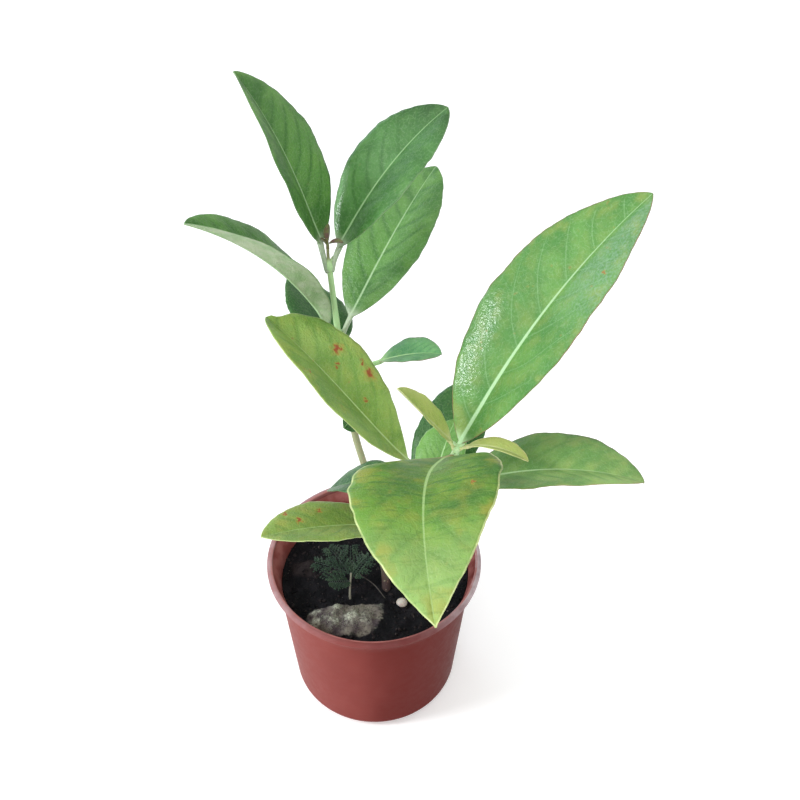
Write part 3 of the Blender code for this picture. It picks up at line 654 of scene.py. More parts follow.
def tuft_tree(material):
    """Thin leaning cones on the mossy clod."""
    tree, start, spots = scatter_tree("moss", 4, 0, 0.75, 2.0, density=1e6, height=MM)
    values = {"Vertices": 4, "Radius Top": 0.05, "Radius Bottom": 0.3, "Depth": 1.0}
    blade = add(tree, "GeometryNodeMeshCone", values).outputs[0]
    ends = {0: (0.5, 0.5, 0.4), 1: (1.0, 1.0, 1.0), "Seed": 2}
    shape = add(tree, "FunctionNodeRandomValue", ends, data_type="FLOAT_VECTOR").outputs[0]
    height = {0: shape, "Scale": start.outputs["Height"]}
    scale = add(tree, "ShaderNodeVectorMath", height, operation="SCALE").outputs[0]
    turns = {0: (-0.5, -0.5, 0), 1: (0.5, 0.5, math.tau), "Seed": 9}
    turn = add(tree, "FunctionNodeRandomValue", turns, data_type="FLOAT_VECTOR").outputs[0]
    values = {"Points": spots[0], "Instance": blade, "Rotation": turn, "Scale": scale}
    end_tree(tree, add(tree, "GeometryNodeInstanceOnPoints", values).outputs[0], material)
    return tree


def soil_rings(pot, settings):
    """Rings from under the soil up its wall and over its top, and the kind of ground at each."""
    reach = pot.radius(SOIL_TOP) - pot.wall - FIT_GAP
    inner_foot = pot.foot - pot.corner
    profile = [(inner_foot, pot.floor + FIT_GAP)]
    inner = pot.corner - pot.wall - FIT_GAP
    profile += arc((inner_foot, pot.corner), inner, -60, -30, 1)
    profile += [(pot.radius(pot.corner) - pot.wall - FIT_GAP, pot.corner)]
    rings = turned_rings(profile, SOIL_SEGMENTS)
    kinds = [np.zeros((SOIL_SEGMENTS, 3)) for _ in rings]
    turns = [2 * math.pi * index / SOIL_SEGMENTS for index in range(SOIL_SEGMENTS)]
    edges = [(math.cos(turn), math.sin(turn), soil_reach(pot, turn)) for turn in turns]
    for share in np.linspace(1, 0.004, SOIL_RINGS):
        ring, kind = [], []
        for cosine, sine, edge in edges:
            x, y = edge * share * cosine, edge * share * sine
            shares = lump_shares(x, y)
            rise, knob = clods(x, y, shares, settings)
            rise *= min(1.0, (1 - share) * CLOD_EDGE_STEEPNESS)
            ring.append((x, y, soil_height(x, y, reach, shares) + rise))
            kind.append((shares[0], shares[1], 1 + 0.3 * knob))
        rings.append(np.array(ring))
        kinds.append(np.array(kind))
    return rings, kinds


class VIBURNUM_OT_soil(bpy.types.Operator):
    """Fill the pot with soil, crumbs on it, and moss on its clod"""

    bl_idname = "viburnum.soil"
    bl_label = "Soil, crumbs and moss"

    def execute(self, context):
        settings = context.scene.viburnum_soil
        rings, kinds = soil_rings(PotShape(context.scene.viburnum_pot), settings)
        parts = Parts("ground")
        parts.add(*loft(rings), ground=np.vstack(kinds))
        soil = parts.to_object("potting_soil", soil_material(settings))
        crumbs = run_geometry(
            soil, crumb_tree(crumb_material(settings)), "soil_crumbs",
            density=settings.crumbs, size=settings.crumb_size, unevenness=CRUMB_UNEVENNESS,
        )
        moss = run_geometry(
            soil, tuft_tree(moss_material(settings)), "moss",
            density=settings.tufts, height=settings.moss_height,
        )
        finish_piece(soil, "soil", "soil")
        finish_piece(crumbs, "soil")
        finish_piece(moss, "weed")
        return {"FINISHED"}


# The shoots


TRUNK_FOOT = ((6.2, -12.6, 64), (6.0, -11.4, 84))
FORK = (5.3, -8.2, 99)
TALL_SHOOT = TRUNK_FOOT + (
    FORK,
    (0.5, 0.9, 145),
    (-8.6, 7.1, 188),
    (-12.6, 12.4, 224),
    (-14.3, 15.2, 242),
    (-17.3, 20.6, 281),
    (-17.6, 22.2, 290),
)
SHORT_SHOOT = (
    FORK,
    (13.2, -16.0, 121),
    (20.0, -25.0, 151),
    (26.2, -33.0, 178),
    (33.0, -40.5, 205),
    (36.5, -44.0, 225),
)


# the heights between which the bark goes from brown to young, to green, and to the brownish neck
# under the bud, and between which its pale dots fade
YOUNG_BARK = (115 * MM, 150 * MM)
GREEN_BARK = (215 * MM, 265 * MM)
NECK_BARK = (283 * MM, 286 * MM)
DOTTED_BARK = (180 * MM, 260 * MM)
BARK_DRIFT = 50 * MM
COLLAR_SWELLING = 0.7 * MM
COLLAR_REACH = 6 * MM
# the neck under the bud: its length, where in it the thinning starts, and its share of the radius
NECK_LENGTH = 3 * MM
NECK_START = 0.3
NECK_THINNING = 0.45
# below 1, a shoot loses most of its thickness near its foot
TAPER_POWER = 0.6
# how far above its leaf's stalk a side bud starts, in millimetres
SIDE_BUD_RISE = 1.6
SIDE_BUD_LENGTH = 3.2 * MM
SIDE_BUD_RADIUS = 0.75 * MM


class ShootSettings(bpy.types.PropertyGroup):
    tall_foot: length("Tall foot", "Radius of the trunk at the soil", 2.6 * MM)
    tall_tip: length("Tall tip", "Radius of the tall shoot at its tip", 1.3 * MM)
    short_foot: length("Short foot", "Radius of the short shoot at the fork", 1.9 * MM)
    short_tip: length("Short tip", "Radius of the short shoot at its tip", 1.4 * MM)
    swelling: length("Node swelling", "How far the shoot swells at each pair of leaves", 0.45 * MM)
    node_reach: length("Node reach", "Half the height of each swelling", 2.5 * MM)
    bark: colour("Bark", "Colour of the old bark at the foot", "#4e3f3d")
    young_bark: colour("Young bark", "Colour of the bark half-way up", "#9aa27b")
    green_bark: colour("Green bark", "Colour of the young shoots", "#b8dea2")


class Shoot:
    """A shoot's axis and its radius, thicker at the foot and swollen at each pair of leaves."""

    def __init__(self, name, settings):
        tall = name == "tall"
        points = TALL_SHOOT if tall else SHORT_SHOOT
        self.path = smooth_path(points, 0.5 * MM)
        self.low = SOIL_TOP if tall else self.path[0].z
        self.high = self.path[-1].z
        self.foot = settings.tall_foot if tall else settings.short_foot
        self.tip = settings.tall_tip if tall else settings.short_tip
        self.nodes = {leaf.height * MM for leaf in LEAVES if leaf.shoot == name}
        self.swelling, self.reach = settings.swelling, settings.node_reach

    def radius(self, height):
        share = min(max((height - self.low) / (self.high - self.low), 0.0), 1.0)
        swelling = sum(math.exp(-(((height - node) / self.reach) ** 2)) for node in self.nodes)
        plain = self.foot + (self.tip - self.foot) * share**TAPER_POWER
        # only a thin neck goes on above the last pair of leaves
        neck = min(max((height - max(self.nodes)) / NECK_LENGTH - NECK_START, 0.0), 1.0)
        neck *= NECK_THINNING
        return plain * (1 - neck) + self.swelling * min(swelling, 1.0) * (1 - neck)

    def at(self, height):
        """The axis point at a height, the shoot's direction there and its radius."""
        index = min(range(1, len(self.path)), key=lambda i: abs(self.path[i].z - height))
        along = (self.path[index] - self.path[index - 1]).normalized()
        return self.path[index], along, self.radius(height)


def bark_material(settings):
    """Young viburnum bark: smooth and green, brown and corky at the foot, with pale lenticels."""
    material, tree, shader = new_material("young_viburnum_bark", IOR=1.45, Subsurface_Weight=0.05)
    place = add(tree, "ShaderNodeTexCoord").outputs["Object"]
    height = add(tree, "ShaderNodeSeparateXYZ", {0: place}).outputs[2]
    patch = grain(tree, place, 8 * MM, 4.0, (1, 1, 0.4))
    blurred = plus(tree, height, (patch, BARK_DRIFT))
    body = layer(tree, settings.bark, settings.young_bark, (blurred, *YOUNG_BARK))
    body = layer(tree, body, settings.green_bark, (blurred, *GREEN_BARK))
    body = layer(tree, body, "#7d8058", (height, *NECK_BARK))
    streaks = grain(tree, place, 0.8 * MM, 4.0, (1, 1, 0.12))
    body = layer(tree, body, "#5d5a3c", (streaks, 0.45, 0.75, 0.0, 0.15))
    dots = fade(tree, (grain(tree, place, 1.2 * MM, 1.0, (1, 1, 0.6)), 0.68, 0.74))
    body = layer(tree, body, "#b8ad92", dots, (height, *DOTTED_BARK, 0.7, 0.1))
    relief = plus(tree, dots, (streaks, 1.0))
    connect(tree, shader, body, fade(tree, (streaks, 0.3, 0.7, 0.42, 0.65)), relief, 0.12 * MM)
    return material


class VIBURNUM_OT_shoots(bpy.types.Operator):
    """Grow the trunk, its two shoots and the side buds in the leaf axils"""

    bl_idname = "viburnum.shoots"
    bl_label = "Shoots"

    def execute(self, context):
        settings = context.scene.viburnum_shoots
        parts = Parts()
        shoots = {name: Shoot(name, settings) for name in ("tall", "short")}
        for name, shoot in shoots.items():
            path = shoot.path[::2]
            radii = []
            for point in path:
                radius = shoot.radius(point.z)
                if name == "short":
                    # a collar where the short shoot leaves the trunk
                    radius += COLLAR_SWELLING * math.exp(-((point.z - shoot.low) / COLLAR_REACH))
                radius *= 1 + 0.05 * noise.noise(point / (5 * MM))
                radii.append(radius)
            parts.add(*loft(tube_rings(path, radii, 24)))
        for leaf in LEAVES:
            place, along, radius = shoots[leaf.shoot].at(leaf.height * MM)
            heading = math.radians(leaf.heading)
            outward = Vector((math.cos(heading), math.sin(heading), 0))
            outward = (outward - along * outward.dot(along)).normalized()
            start = place + along * SIDE_BUD_RISE * MM + outward * radius * 0.6
            lengths = np.linspace(0, 1, 7)
            bud = [start + (along * 0.85 + outward * 0.5) * SIDE_BUD_LENGTH * s for s in lengths]
            sizes = [SIDE_BUD_RADIUS * math.sin(math.pi * (0.25 + 0.70 * s)) for s in lengths]
            parts.add(*loft(tube_rings(bud, sizes, 10)))
        item = parts.to_object("woody_stems", bark_material(settings), sharp_angle=60)
        finish_piece(item, "shoot_bark", "woody_shoots")
        return {"FINISHED"}


# The leaves


@dataclass(frozen=True)
class Leaf:
    """One leaf. Lengths are in millimetres and angles in degrees.

    heading and rise aim the leaf stalk, roll turns it about its own axis, and the blade then
    bends down by droop, to its left by sweep and about its midrib by twist on its way to the tip.
    late above 1 puts more of the droop near the tip. fold lifts both halves from the midrib.
    near_base and near_tip are the powers that round the outline at its two ends. notch is the
    side (-1 left, 1 right), share of the length, half length and depth of a bite in the margin.
    """

    name: str
    shoot: str
    height: float
    heading: float
    rise: float
    petiole: float
    length: float
    width: float
    look: str
    roll: float = 0.0
    droop: float = 20.0
    late: float = 1.25
    sweep: float = 0.0
    twist: float = 0.0
    fold: float = 12.0
    near_base: float = 0.8
    near_tip: float = 0.75
    notch: tuple = ()


LEAVES = (
    Leaf("leaf_tall_tip_left", "tall", 281, 151, 73, 12, 84, 43, "green",
         roll=-1, droop=22, late=1.4, sweep=2, twist=21, fold=20),
    Leaf("leaf_tall_tip_right", "tall", 281, 30, 57, 10, 80, 40, "glossy",
         roll=2, droop=32, sweep=4, twist=3, fold=13, near_tip=0.7),
    Leaf("leaf_tall_upper_right", "tall", 242, 52, 39, 12, 90, 40, "green",
         roll=1, droop=20, sweep=-2, twist=-5, fold=8),
    Leaf("leaf_tall_upper_left", "tall", 242, 206, 66, 12, 98, 33, "green",
         roll=4, droop=34, sweep=5, twist=2, fold=36, near_base=0.85, near_tip=0.7),
    Leaf("leaf_tall_middle", "tall", 232, 115, 27, 6, 47, 37, "shaded",
         roll=18, droop=11, sweep=-4, twist=14, fold=6, near_base=0.65, near_tip=0.85),
    Leaf("leaf_tall_small_right", "tall", 224, -6, 23, 19, 31, 24, "bluish",
         roll=-9, droop=26, late=1.4, sweep=2, twist=-2, fold=16, near_base=0.9, near_tip=0.7),
    Leaf("leaf_tall_small_hanging", "tall", 205, 277, 18, 5, 19, 14, "shaded",
         roll=-51, droop=43, late=1.3, sweep=11, twist=-14, near_tip=0.7),
    Leaf("leaf_short_young_left", "short", 224, 181, 54, 5, 39, 19, "young",
         roll=-10, droop=5, sweep=10, twist=19, fold=23),
    Leaf("leaf_short_young_right", "short", 224, 335, 26, 5, 30, 11, "golden",
         roll=-7, droop=49, sweep=-1, twist=-5, fold=30, near_base=0.85),
    Leaf("leaf_short_broad_back", "short", 218, 42, 50, 6, 140, 58, "bright",
         roll=-5, droop=15, sweep=14, twist=-14, fold=18),
    Leaf("leaf_short_broad_front", "short", 218, 243, 37, 13, 117, 62, "yellow",
         roll=22, droop=87, late=1.8, sweep=-20, twist=-9, fold=7, near_base=0.75, near_tip=1.05),
    Leaf("leaf_short_upper_left", "short", 189, 172, 52, 22, 97, 49, "spotted",
         roll=-17, droop=25, late=1.75, sweep=24, twist=19, fold=23, near_base=1.05, near_tip=0.65,
         notch=(1, 0.967, 0.016, 6.5)),
    Leaf("leaf_short_upper_right", "short", 189, -14, 29, 13, 87, 44, "olive",
         roll=1, droop=34, late=1.45, sweep=6, twist=-20, fold=19, near_base=0.85),
    Leaf("leaf_short_shaded_left", "short", 178, 159, 14, 7, 49, 31, "shaded",
         roll=1, droop=58, sweep=5, twist=20, fold=16, near_base=0.85),
    Leaf("leaf_short_shaded_back", "short", 178, 67, 45, 5, 37, 27, "light",
         roll=-12, droop=19, sweep=3, twist=-9, fold=11, near_tip=0.8),
    Leaf("leaf_short_low_left", "short", 151, 197, 24, 14, 70, 34, "low",
         roll=7, droop=18, late=1.45, sweep=1, twist=7, fold=14, near_base=0.85),
    Leaf("leaf_short_low_back", "short", 151, 58, 46, 10, 78, 37, "shaded",
         roll=-7, droop=26, sweep=6, twist=-4, near_base=0.85),
)
BLADE_STEPS = 60
# the shares of the length between which a leaf goes from its stalk's form to a blade's
BLADE_START = (0.06, 0.2)
STALK_END = 0.15
MARGIN_WAVES = 3.5
MARGIN_WAVE_HEIGHT = 0.02
# how far the margin swings slowly and quickly, as shares of the half width, how often along a
# blade, and where in the noise the left and the right margin lie
MARGIN_SWINGS = (0.012, 0.03)
SLOW_SWINGS, QUICK_SWINGS = 7, 20
SLOW_SIDES, QUICK_SIDES = (3.0, 8.0), (13.0, 18.0)
# above 1, the grid's columns crowd towards the midrib
COLUMN_CROWDING = 1.25
MIDRIB_DEPTH = 1.125 * MM
GROOVE_DEPTH = 0.35 * MM
MIDRIB_RISE = 0.25 * MM
SIDE_VEIN_DEPTH = 0.18 * MM
# width in millimetres from which a blade has its full relief
BROAD = 50
# length in millimetres above which a leaf gets the finer grid, and the columns of both grids
LONG = 60
COLUMNS, FEW_COLUMNS = 31, 23
# radius of a leaf stalk in millimetres, and what each millimetre of the blade's width adds to it
STALK_RADIUS, STALK_GROWTH = 0.65, 0.013
# how far noise moves the edge of a blemish, in millimetres
BLEMISH_WARP = 7


@dataclass(frozen=True)
class Look:
    """Colours and shares of one kind of leaf. Shares go from 0 to 1, and rim is in millimetres.

    gloss is the clean, shiny patch on the left half: its reach from the margin in millimetres and
    the shares of the length between which it lies. One share sets a painted bluish-grey sheen on
    the outer end of the right half. The shade beside the side veins and along the crease lines is
    painted in the deep green, and so are the vein lines where no vein colour is given. marks are
    rust-red blemishes: millimetres to the right of the midrib, along it, and radius.
    """

    slot: str
    green: str
    deep: str
    patch: str
    rim_colour: str
    patches: float = 0.3
    spots: float = 0.2
    rim: float = 0.5
    veins: float = 0.45
    vein_colour: str = ""
    groove_shade: float = 0.8
    wrinkles: float = 0.0
    rib_colour: str = "#a9d08f"
    stalk: str = ""
    tip: str = ""
    roughness: float = 0.42
    coat: float = 0.12
    relief: float = 0.16
    rib: float = 0.9
    gloss: tuple = ()
    painted_sheen: float = 0.0
    marks: tuple = ()


LOOKS = {
    "green": Look(
        "leaf_green", "#5a8b42", "#3c6d2c", "#6f9d48", "#6d8c5e", spots=0.05, rib=0.6,
        rib_colour="#a3c592", stalk="#b0bfa2",
    ),
    "glossy": Look(
        "leaf_green", "#528744", "#396b2c", "#62944a", "#6d8c5e", spots=0.05, rib=0.6,
        rib_colour="#9dc48c", stalk="#b0bfa2", coat=1.0, gloss=(9, 0.03, 0.45), tip="#1f4a17",
        relief=0.12,
    ),
    "bright": Look(
        "leaf_green", "#5f9343", "#488136", "#8c9c4a", "#8c6a4e", spots=0.25, coat=1.0,
        roughness=0.5, veins=0.2, vein_colour="#a4cc94", relief=0.17, patches=0.5,
        rib_colour="#b4d8a6", rib=1.15, gloss=(14, 0.10, 0.52), painted_sheen=0.36,
        marks=((17.9, 100, 1.0),),
    ),
    "yellow": Look(
        "leaf_yellow_green", "#5f8d2b", "#406f26", "#9a9436", "#d3dd9c", patches=0.55, rim=0.9,
        veins=0.2, groove_shade=0.25, wrinkles=0.9, rib_colour="#a0c07a", spots=0.1, tip="#98ba66",
        coat=0.05, roughness=0.5, stalk="#a08a62", marks=((-20, 57, 0.8), (19, 40, 0.7)),
    ),
    "spotted": Look(
        "leaf_yellow_green", "#8fb056", "#6d963f", "#a3ac4c", "#c3d18e", patches=0.35, spots=0.3,
        rim=0.6, rib_colour="#b9d390", rib=0.6, relief=0.22,
        marks=(
            (13.1, 63.9, 2.5), (16.7, 44.2, 2.7), (7.1, 59.1, 1.0), (-17.1, 67.2, 1.1),
            (5.8, 37.8, 0.8), (17.5, 50, 1.1),
        ),
    ),
    "low": Look(
        "leaf_yellow_green", "#86a24b", "#6a8b3b", "#a09a46", "#c3d18e", patches=0.45, spots=0.3,
        rim=0.6, rib_colour="#a9c47c", rib=0.6, relief=0.2,
        marks=((5.4, 49.1, 1.5), (9.9, 37.1, 1.3), (10.9, 54.2, 1.2)),
    ),
    "olive": Look(
        "leaf_yellow_green", "#8bb060", "#608d46", "#98a45a", "#96855a", patches=0.35,
        rib_colour="#a9c990", rib=0.8,
    ),
    "young": Look(
        "leaf_young", "#b6c36c", "#a5b660", "#c0c474", "#e0dc9c", patches=0.4, spots=0.1,
        coat=0.04, rib_colour="#c8cf92", veins=0.2,
    ),
    "golden": Look(
        "leaf_young", "#a4b562", "#97a957", "#a8ae5c", "#d0cf8f", patches=0.4, spots=0.1, coat=0.0,
        rib_colour="#bcc486", veins=0.2, roughness=0.6,
    ),
    "light": Look(
        "leaf_green", "#6c9f48", "#57893b", "#80aa52", "#9bc47d", spots=0.0, rib=0.6,
    ),
    "shaded": Look(
        "leaf_green", "#37692b", "#285a24", "#447a32", "#527849", spots=0.05, rib=0.6,
    ),
    "bluish": Look(
        "leaf_green", "#68a268", "#4a8352", "#76a360", "#8a7068", spots=0.05, rib=0.7,
    ),
}


class LeafSettings(bpy.types.PropertyGroup):
    thickness: length("Blade thickness", "Thickness of the blades at the midrib", 0.5 * MM)
    quilting: length("Quilting", "How far a large blade bulges between its side veins", 0.32 * MM)
    arch: FloatProperty(
        name="Arch", description="How far each half bulges, to its width", default=0.05, min=0
    )
    side_veins: FloatProperty(
        name="Side veins", description="Side veins on each half", default=7.5, min=1
    )
    tooth: length("Tooth", "Depth of the shallow teeth on the outer half of the margin", 0.3 * MM)
    tooth_spacing: length("Tooth spacing", "Distance between two teeth", 5.5 * MM)
    underside: colour("Underside", "Colour of the lower faces", "#97a583")


def petiole_radius(leaf):
    return (STALK_RADIUS + STALK_GROWTH * leaf.width) * MM


def turned(vector, axis, angle):
    return Matrix.Rotation(angle, 3, axis) @ vector


def blade_frames(leaf, anchor):
    """Point, direction, upward normal and rightward side at each step along the midrib."""
    heading, rise = math.radians(leaf.heading), math.radians(leaf.rise)
    along = Vector((
        math.cos(heading) * math.cos(rise), math.sin(heading) * math.cos(rise), math.sin(rise),
    ))
    side = Vector((math.sin(heading), -math.cos(heading), 0))
    normal = side.cross(along)
    roll = math.radians(leaf.roll)
    normal, side = turned(normal, along, roll), turned(side, along, roll)
    point = anchor + along * leaf.petiole * MM
    frames = [(point.copy(), along, normal, side)]
    for step in range(BLADE_STEPS):
        start, end = step / BLADE_STEPS, (step + 1) / BLADE_STEPS
        droop = -math.radians(leaf.droop) * (end**leaf.late - start**leaf.late)
        sweep = -math.radians(leaf.sweep) / BLADE_STEPS
        twist = math.radians(leaf.twist) / BLADE_STEPS
        along, normal = turned(along, side, droop), turned(normal, side, droop)
        along, side = turned(along, normal, sweep), turned(side, normal, sweep)
        normal, side = turned(normal, along, twist), turned(side, along, twist)
        point = point + along * leaf.length * MM / BLADE_STEPS
        frames.append((point.copy(), along, normal, side))
    return frames


def half_width(leaf, t):
    widest = leaf.near_base / (leaf.near_base + leaf.near_tip)
    rising = (t / widest) ** leaf.near_base
    falling = ((1 - t) / (1 - widest)) ** leaf.near_tip
    return leaf.width / 2 * MM * rising * falling


def eased(value, low, high):
    share = np.clip((value - low) / (high - low), 0.0, 1.0)
    return share * share * (3 - 2 * share)


def margin_noise(leaf, t, v, waves, offsets):
    """Noise along a blade's two margins, from -1 to 1, with one offset for each side."""
    seed = sum(map(ord, leaf.name)) * 0.37
    values = [[noise.noise((seed, waves * row, offset)) for offset in offsets] for row in t[:, 0]]
    values = np.array(values)
    return np.where(v < 0, values[:, :1], values[:, 1:])


def blade_outline(leaf, settings, t, v, plain, uneven):
    """Half width at each point of a blade, with an uneven margin, its teeth and its notch."""
    ragged = margin_noise(leaf, t, v, QUICK_SWINGS, QUICK_SIDES)
    ragged = ragged * np.abs(v) ** 5 * (1 - eased(t, 0.9, 1.0))
    swings = MARGIN_SWINGS[0] * uneven + MARGIN_SWINGS[1] * ragged
    half = plain * (1 + swings * eased(t, *BLADE_START))
    # the two rows of teeth don't start together
    start = np.where(v < 0, *SLOW_SIDES) * 0.13
    saw = np.abs(((t * leaf.length * MM / settings.tooth_spacing + start) % 1.0) - 0.25)
    teeth = settings.tooth * (0.5 - saw) * eased(t, 0.40, 0.6) * (1 - eased(t, 0.96, 1.0))
    half = half + teeth * np.abs(v) ** 6
    if leaf.notch:
        hand, place, reach, deep = leaf.notch
        bite = deep * MM * np.exp(-(((t - place) / reach) ** 2))
        half = half - bite * (hand * v > 0) * np.abs(v) ** 3
    return half


def blade_grid(leaf, frames, settings, rows, columns):
    """Upper and lower points of a blade, and their attributes, as arrays of rows by columns."""
    frames = np.array([[list(vector) for vector in frame] for frame in frames])
    t = np.linspace(0, 1, rows)
    at = t * BLADE_STEPS
    first = np.minimum(at.astype(int), BLADE_STEPS - 1)
    share = (at - first)[:, None, None]
    point, _, normal, side = np.moveaxis(
        frames[first] * (1 - share) + frames[first + 1] * share, 1, 0
    )

    s = np.linspace(-1, 1, columns)
    v = (np.sign(s) * np.abs(s) ** COLUMN_CROWDING)[None, :]
    t = t[:, None]
    u = t * leaf.length * MM
    stalk = petiole_radius(leaf)
    plain = np.maximum(half_width(leaf, t), stalk * (1 - 0.75 * t))
    uneven = margin_noise(leaf, t, v, SLOW_SWINGS, SLOW_SIDES)
    half = blade_outline(leaf, settings, t, v, plain, uneven)
    blade = eased(t, *BLADE_START)

    size = min(1.0, leaf.width / BROAD)
    fold = math.radians(leaf.fold) * (1 - 0.35 * t)
    merge = np.maximum(0.0, 1 - t / STALK_END) ** 2
    wave = np.sin(2 * math.pi * MARGIN_WAVES * t + 1.5 * v) * MARGIN_WAVE_HEIGHT * t * (1 - t) * 4
    away = np.sqrt(v**2 + 0.02**2) - 0.02
    across = half * v * np.cos(fold)
    lift = half * (away * np.sin(fold) + wave * v * v)

    # side veins leave the midrib at an angle and bend towards the tip on their way out
    width = np.abs(half * v)
    spacing = leaf.length * MM / settings.side_veins
    phase = (u - 0.7 * width - 30.0 * width**2 * BROAD / leaf.width) / spacing
    phase = phase + np.where(v < 0, 0.35, 0.0) + 0.18 * uneven
    bulge = np.abs(np.sin(math.pi * phase)) ** 0.8 - 0.6
    body = np.sin(math.pi * np.abs(v) ** 0.8) * blade * (1 - eased(t, 0.9, 1.0))
    lift = lift + settings.quilting * size * bulge * body
    lift = lift + settings.arch * plain * np.sin(math.pi * np.abs(v) ** 1.3) * blade
    rib = (1.25 - 0.95 * t) * MM * (0.4 + 0.6 * size)
    groove = GROOVE_DEPTH * size * np.exp(-((width / (1.4 * rib)) ** 2)) * blade
    raised = MIDRIB_RISE * size * np.exp(-((width / (0.5 * rib)) ** 2)) * blade
    crown = merge * (1 - v * v) * stalk * 0.6
    top = lift - groove + raised + crown

    thin = settings.thickness * (1 - 0.45 * np.abs(v) ** 3) * (0.6 + 0.4 * size)
    keel = MIDRIB_DEPTH * (1 - 0.7 * t) * (0.3 + 0.7 * size) * np.exp(-((width / (0.7 * rib)) ** 2))
    beside = np.abs(phase % 1.0 - 0.5) - 0.5
    ridge = SIDE_VEIN_DEPTH * size * np.exp(-((beside * 9) ** 2)) * body
    depth = thin + np.maximum(keel, 0) + ridge
    depth = depth + merge * (1 - v * v) * np.maximum(2 * stalk - depth, 0)
    bottom = lift - groove * 0.3 - depth

    def placed(height):
        sideways = side[:, None] * across[..., None]
        return point[:, None] + sideways + normal[:, None] * height[..., None]

    from_margin = np.maximum(half * (1 - np.abs(v)), 0)
    mm = np.stack(np.broadcast_arrays(half * v, u, from_margin), -1)
    veins = np.broadcast_arrays(phase, t, np.ones_like(phase))
    return placed(top), placed(bottom), mm, np.stack(veins, -1)


def petiole_path(leaf, frames, anchor, stem_along, stem_radius):
    """Points along the leaf stalk, from inside the stem, along its bend, up to the blade."""
    base, along, _, _ = frames[0]
    outward = along - stem_along * along.dot(stem_along)
    away = outward.length
    outward.normalize()
    stalk = petiole_radius(leaf)
    room = leaf.petiole * MM * away - (stem_radius + FIT_GAP + stalk)
    bend = base - along * min(leaf.petiole * MM * 0.55, max(room, 0.2 * MM) / away)
    root = anchor + outward * stem_radius * 0.35 - stem_along * 2.2 * stalk
    shoulder = anchor + outward * (stem_radius + stalk * 0.5) + stem_along * 0.6 * stalk
    count = max(12, round(leaf.petiole / 0.7))
    points = []
    for index in range(count):
        t = index / count
        far = 1 - t
        points.append(
            root * far**3 + shoulder * 3 * t * far**2 + bend * 3 * t**2 * far + base * t**3
        )
    return points


def leaf_rings(leaf, frames, settings, anchor, stem_along, stem_radius):
    """Closed sections of a whole leaf, from the stem to the tip, with their attributes."""
    columns = COLUMNS if leaf.length > LONG else FEW_COLUMNS
    rows = max(24, round(leaf.length))
    top, bottom, mm, veins = blade_grid(leaf, frames, settings, rows, columns)
    stalk = petiole_radius(leaf)
    centre, first_along, _, side = frames[0]
    first = np.vstack((top[0], bottom[0][::-1])) - np.array(centre)
    normal = np.array(side.cross(first_along))
    shape = np.column_stack((first @ np.array(side), first @ normal))
    angles = math.pi * np.linspace(0.97, 0.03, columns)
    angles = np.concatenate((angles, -angles[::-1]))
    circle = np.column_stack((np.cos(angles), np.sin(angles)))
    path = petiole_path(leaf, frames, anchor, stem_along, stem_radius)
    rings, sizes, kinds = [], [], []
    for index, point in enumerate(path):
        ahead = path[index + 1] if index + 1 < len(path) else centre
        direction = (ahead - path[max(index - 1, 0)]).normalized()
        across = (side - direction * side.dot(direction)).normalized()
        up = np.array(across.cross(direction))
        share = float(eased(index / len(path), 0.35, 1.0))
        foot = (point - path[0]).length / MM
        swollen = stalk * (1 + 0.3 * math.exp(-((foot / 2.5) ** 2)))
        section = circle * swollen * (1 - share) + shape * share
        ring = np.array(point) + np.outer(section[:, 0], across) + np.outer(section[:, 1], up)
        rings.append(ring)
        back = -(centre - point).length
        same = np.ones(len(ring))
        sizes.append(np.column_stack((section[:, 0], back * same, 5 * MM * same)))
        kinds.append(np.tile((0.5, 0.0, 1.0), (len(ring), 1)))
    for row in range(rows):
        rings.append(np.vstack((top[row], bottom[row][::-1])))
        sizes.append(np.vstack((mm[row], mm[row][::-1])))
        under = veins[row][::-1] * (1, 1, 0)
        kinds.append(np.vstack((veins[row], under)))
    return rings, np.vstack(sizes), np.vstack(kinds)


def blemished(tree, body, place, flat, look):
    """A leaf's colour with its fine specks and its rust-red blemishes."""
    speck = grain(tree, place, 3.2 * MM, 1.0)
    halo = fade(tree, (speck, 0.70, 0.78, 0.0, look.spots * 0.7))
    body = layer(tree, body, "#b8a04a", halo)
    body = layer(tree, body, "#7a4631", (speck, 0.76, 0.80, 0.0, look.spots))

    # the blemishes have ragged edges, because noise moves the place that is compared with each
    warp = add(tree, "ShaderNodeTexNoise", {"Vector": place, "Scale": 0.45 / MM, "Detail": 3.0})
    warp = {0: warp.outputs["Color"], 1: (BLEMISH_WARP * MM, BLEMISH_WARP * MM, 0), 2: flat}
    ragged = add(tree, "ShaderNodeVectorMath", warp, operation="MULTIPLY_ADD").outputs[0]
    for right, up, radius in look.marks:
        away = {0: ragged, 1: ((right + BLEMISH_WARP / 2) * MM, (up + BLEMISH_WARP / 2) * MM, 0)}
        away = add(tree, "ShaderNodeVectorMath", away, operation="DISTANCE").outputs["Value"]
        halo = fade(tree, (away, radius * 0.6 * MM, radius * 1.9 * MM, 0.55, 0.0))
        body = layer(tree, body, "#b08f3a", halo)
        core = fade(tree, (away, radius * 0.35 * MM, radius * MM, 0.9, 0.0))
        body = layer(tree, body, "#953f20", core)
    return body


